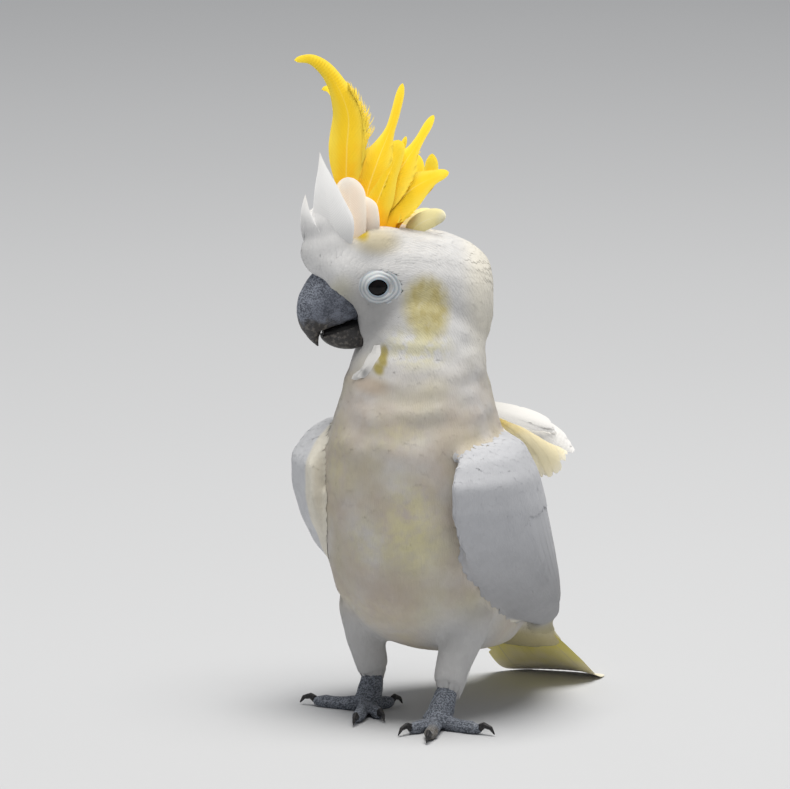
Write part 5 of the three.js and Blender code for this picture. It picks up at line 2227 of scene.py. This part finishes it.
@dataclass(frozen=True)
class Eye:
    """One eye: the ball in its socket, its lid and the rings of bare skin round it.

    Attributes:
        radius: The ball's radius.
        opening: Half sizes of what shows of it, ahead and up.
        ring: Half sizes of the bare ring's outer edge.
        ring_back: How far further back the ring's middle lies than the eye's.
        folds: How many folds the ring has.
        fold_height: How high they stand.
    """

    radius: float = 7.2
    opening: Pair = (5.4, 4.75)
    ring: Pair = (12.5, 11.6)
    ring_back: float = 1.3
    folds: int = 4
    fold_height: float = 0.26

    def around(self, f: Array, l: Array, z: Array) -> Array:
        """A place ahead of and above the eye's middle, and left of the head's."""
        return PLACES.at(Places.EYE_AHEAD + f, l, Places.EYE_UP + z)

    def ball(self, side: Side, material: Material) -> None:
        """Builds the ball.

        Args:
            side: The eye's side.
            material: The finish.
        """
        polar = np.linspace(0.03, np.pi - 0.03, 40)[:, None]
        angle = circle(64)[None]
        out = np.cos(polar) + 0 * angle
        f, z = np.sin(polar) * np.cos(angle), np.sin(polar) * np.sin(angle)
        left = (Places.EYE_SIDE + self.radius * out) * side.value
        rings = self.around(self.radius * f, left, self.radius * z)
        points, faces = lofted(rings)
        radial = np.where(out > 0, np.sin(polar), 1.0)
        soup = Soup().add(points, faces, along=np.concatenate([radial.ravel(), (0, 1)]))
        soup.build(f"eyeball_{side.word}", material, Slot.EYE, (f"eye_{side.word}",))

    def lids(self, side: Side, body: Body, material: Material) -> None:
        """Builds the lid and the ring's folds, from the ball out to the head.

        Args:
            side: The eye's side.
            body: The flesh that the ring meets.
            material: The finish.
        """
        angle = circle(128)[:, None]
        r = np.linspace(0, 1, 44)[None]
        corner = 1 + 0.07 * np.abs(np.cos(angle)) ** 6
        half_f = (self.opening[0] + (self.ring[0] - self.opening[0]) * r) * (corner * (1 - r) + r)
        half_z = self.opening[1] + (self.ring[1] - self.opening[1]) * r
        f = half_f * np.cos(angle) - self.ring_back * r
        z = half_z * np.sin(angle) * np.ones_like(r)
        rim = np.sqrt(np.maximum(self.radius**2 - f**2 - z**2, 0)) + Places.EYE_SIDE
        starts = self.around(f, 45 * side.value + 0 * f, z).reshape(-1, 3)
        inwards = Vector(-side.value * PLACES.left)
        hits = [body.surface.tree.ray_cast(Vector(start), inwards)[0] for start in starts]
        flesh = PLACES.in_head(np.array(hits))[:, 1].reshape(f.shape) * side.value
        outer = relaxed_loop(flesh[:, -1], 12)[:, None]
        lid = rim[:, :1]
        base = lid + 0.55 + (outer - 0.4 - lid - 0.55) * step(r, 0.05, 1.0)
        base = np.maximum(base, flesh - 0.45 - 3 * (1 - step(r, 0.12, 0.4)))
        waver = 0.04 * np.sin(3 * angle + 1) + 0.03 * np.sin(7 * angle)
        fold = 0.5 + 0.5 * np.cos(2 * np.pi * (r * (self.folds - 0.5) + waver * r * 3))
        l = base + self.fold_height * fold * (0.5 + 0.5 * step(r, 0, 0.15)) * step(1 - r, 0, 0.16)
        top = self.around(f, l * side.value, z)
        under = (np.minimum(base, rim + 9) - 1.5) * side.value
        inner = self.around(f, under, z)
        grid = np.concatenate([top, inner[:, ::-1]], 1)
        points, faces = ringed(grid)
        fold = np.concatenate([fold, fold[:, ::-1] * 0], 1)
        out = np.broadcast_to(np.concatenate([r, r[:, ::-1]], 1), fold.shape)
        soup = Soup().add(points, faces, scale=fold.ravel(), along=out.ravel())
        soup.build(f"eye_ring_{side.word}", material, Slot.RING, ("head",))


def relaxed_loop(values: Array, rounds: int) -> Array:
    """Values round a loop, smoothed."""
    for _ in range(rounds):
        values = (values + np.roll(values, 1) + np.roll(values, -1)) / 3
    return values


def ringed(grid: Array) -> Arrays:
    """A closed mesh through a grid of points whose rows and columns both close on themselves.

    Args:
        grid: Row by column by 3.

    Returns:
        Its points and its triangles.
    """
    rows, columns = grid.shape[:2]
    points = grid.reshape(-1, 3)
    i, j = (v.ravel() for v in np.meshgrid(np.arange(rows), np.arange(columns), indexing="ij"))
    a, b = i * columns + j, i * columns + (j + 1) % columns
    c, d = (i + 1) % rows * columns + (j + 1) % columns, (i + 1) % rows * columns + j
    return points, outward(points, np.concatenate([np.stack([a, b, c], 1), np.stack([a, c, d], 1)]))


@dataclass(frozen=True)
class Foot:
    """One foot's scaly skin and its claws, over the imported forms.

    Attributes:
        voxel: The step of the skin's mesh.
        scale_size: A scale's width.
        relief: How high the scales stand.
        claw_growth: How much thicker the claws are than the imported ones.
        claw_voxel: The step of their meshes.
        lowest: The lowest that anything reaches.
    """

    voxel: float = 0.62
    scale_size: float = 1.25
    relief: float = 0.16
    claw_growth: float = 0.35
    claw_voxel: float = 0.34
    lowest: float = 0.02

    def skin(self, side: Side, material: Material) -> None:
        """Builds the scaly toes and tarsus.

        Args:
            side: The foot's side.
            material: The finish.
        """
        points, faces = remeshed(*packed(f"foot_{side.word}"), self.voxel)
        points = relaxed(points, faces, 9)
        normals = vertex_normals(points, faces)
        gaps = []
        for p in (points / self.scale_size + 4).tolist():
            near = noise.voronoi(p)[0]
            gaps.append(near[1] - near[0])
        scale = step(np.array(gaps), 0.02, 0.3)
        above = step(points[:, 2], 0.4, 1.6)
        bulge = self.relief * (scale - 0.45) + 0.35 * lumps(points, (5, 5, 5), 6.0)
        points = points + normals * (bulge * above)[:, None]
        points[:, 2] = np.maximum(points[:, 2], self.lowest)
        soup = Soup().add(points, faces, scale=scale)
        soup.build(f"foot_skin_{side.word}", material, Slot.FOOT, (f"foot_{side.word}",))

    def claws(self, side: Side, material: Material) -> None:
        """Builds the four claws."""
        for toe in ("hallux", "inner", "middle", "outer"):
            node = f"claw_{side.word}_{toe}"
            points, faces = remeshed(*packed(node), self.claw_voxel)
            points = relaxed(points, faces, 8)
            points = points + vertex_normals(points, faces) * self.claw_growth
            points[:, 2] = np.maximum(points[:, 2], self.lowest)
            Soup().add(points, faces).build(f"horn_{node}", material, Slot.CLAW, (node,))


# ---- Floor, light and camera ----


@dataclass(frozen=True)
class Studio:
    """A plain pale floor, soft light from above and a camera a few steps away.

    Attributes:
        target: What the camera looks at, from the body's own origin.
        towards: The way from there to the camera.
        distance: How far off it stands.
        lens: Its focal length.
        floor_size: The floor's width, in metres.
        surroundings: How bright the pale surroundings are.
        lamp_at: The lamp's place, in metres.
        lamp_size: Its width.
        lamp_power: Its power.
    """

    target: Triple = (-20.5, 26.3, 188.6)
    towards: Triple = (0.5649, -0.8067, 0.1736)
    distance: float = 5000.0
    lens: float = 387.0
    floor_size: float = 22.0
    surroundings: float = 0.28
    lamp_at: Triple = (0.4, -0.2, 4.2)
    lamp_size: float = 3.0
    lamp_power: float = 212

    def floor(self) -> None:
        """Lays the floor under the feet."""
        g = Graph("studio_floor", Specular_IOR_Level=0.2)
        g.colour = g.blend("#cacbcd", "#c6c7c9", g.noise(900, 2))
        half = self.floor_size / 2
        corners = [(-half, -half, 0), (half, -half, 0), (half, half, 0), (-half, half, 0)]
        mesh = bpy.data.meshes.new("studio_floor")
        mesh.from_pydata(corners, [], [(0, 1, 2, 3)])
        mesh.materials.append(g.finish(0.9))
        placed("studio_floor", mesh)

    def light(self) -> None:
        """Sets the pale surroundings and hangs one soft lamp that shines at the bird."""
        world = bpy.data.worlds.new("studio")
        world.use_nodes = True
        background = world.node_tree.nodes["Background"]
        background.inputs["Color"].default_value = tint("#eef1f6")
        background.inputs["Strength"].default_value = self.surroundings
        bpy.context.scene.world = world
        data = bpy.data.lights.new("key_top", "AREA")
        data.shape, data.size, data.energy = "DISK", self.lamp_size, self.lamp_power
        data.color = tint("#fffdf9")[:3]
        lamp = placed("key_top", data)
        lamp.location = self.lamp_at
        away = Vector(self.lamp_at) - Vector(PLACES.in_body(0, 20, 160) * MM)
        lamp.rotation_euler = away.to_track_quat("Z", "Y").to_euler()
        lamp.visible_camera = False
        bpy.context.scene.view_settings.view_transform = "Standard"

    def camera(self) -> None:
        """Places the camera."""
        data = bpy.data.cameras.new("camera")
        data.lens = self.lens
        data.clip_end = 60
        camera = placed("camera", data)
        towards = Vector(self.towards).normalized()
        camera.location = (Vector(PLACES.in_body(*self.target)) + towards * self.distance) * MM
        camera.rotation_euler = towards.to_track_quat("Z", "Y").to_euler()
        bpy.context.scene.camera = camera


def vaned(name: str, colours: str, **others: object) -> Material:
    """Builds a large feather's finish.

    Args:
        name: Its name.
        colours: The codes of its root, middle, tip, shaft and, if there is one, edge.
        others: Its other settings.

    Returns:
        The material.
    """
    return Vaned(name, *(f"#{code}" for code in colours.split()), **others).material()


def main() -> None:
    """Builds the cockatoo, the floor, the lights and the camera."""
    logging.basicConfig(level=logging.INFO, format="%(name)s: %(message)s")
    body = Body()
    plumage = Plumage().material()
    body.skin(plumage)
    body.pedestal(plumage)
    coat = Coat(body)
    for number, roots in enumerate(coat.roots()):
        coat.grow(number, roots, plumage)
    # The right wing's finish is a lighter copy of the left's, painted light; the left's low colour paints
    # shade towards the bottom.
    flights = {
        Side.LEFT: vaned("flight_left", "cacbcf c8c9cd c4c4c7 cccccd", under="#cdc58e", low="#a8a8aa"),
        Side.RIGHT: vaned("flight_right", "d8d9dc d6d7d9 d2d1d0 d6d6d6", under="#cdc58e"),
    }
    underside = {"under": "#fff07a", "under_tip": "#fff4de"}
    tail = vaned("tail_feather", "ddd29a e9e2c4 ece7dc d8cfae", **underside)
    bright = vaned("plume_white", "f2f0ea f4f2ee f4f2f0 f4f2ee", shaft_share=0.2)
    creamy = {"turns": (0.22, 0.9), "shaft_share": 0.2}
    cream = vaned("plume_cream", "e2cc7c efe5c2 f4eedc f2ecd6", **creamy)
    for wing in body.wings.values():
        WingFeathers().build(wing, body.surface, flights[wing.side])
        Hem().build(wing.side, body, plumage)
    TailFeathers().build(tail)
    yellow = {"turns": (0.28, 0.92), "shaft_share": 0.4}
    creamy = {"turns": (0.14, 0.9), "shaft_share": 0.3}
    pale = "ffe67c fff2b4 fff8d8 fffcec"
    materials = {
        Slot.WHITE: vaned("crest_white", "e6e6e6 e8e8e8 e6e4e0 ecebe8", shaft_share=0.2),
        Slot.CREAM: vaned("crest_cream", "f0cf30 f8e6d2 f8efe2 f9f2e6 f8ecdc", **creamy),
        "crest_pale": vaned("crest_pale", pale, shaft_share=0.3),
        Slot.YELLOW: vaned("crest_yellow", "ffb004 fad020 f6da38 fae078 f8da48", **yellow),
    }
    Crest().build(materials)
    cheek = vaned("cheek_white", "cbcac8 d0cfcd d4d3d1 d0cfcd", shaft_share=0.1)
    for plume in PLUMES:
        plume.build(body, {"plume_fan": cream, "cheek_curl": cheek}.get(plume.name, bright))
    Bill().build(BillHorn().material())
    eye, foot = Eye(), Foot()
    finishes = (EyeBall(), RingSkin(), FootSkin(), ClawHorn())
    ball, ring, skin, claw = (finish.material() for finish in finishes)
    for side in Side:
        eye.ball(side, ball)
        eye.lids(side, body, ring)
        foot.skin(side, skin)
        foot.claws(side, claw)
    studio = Studio()
    studio.floor()
    studio.light()
    studio.camera()


if __name__ == "__main__":
    main()
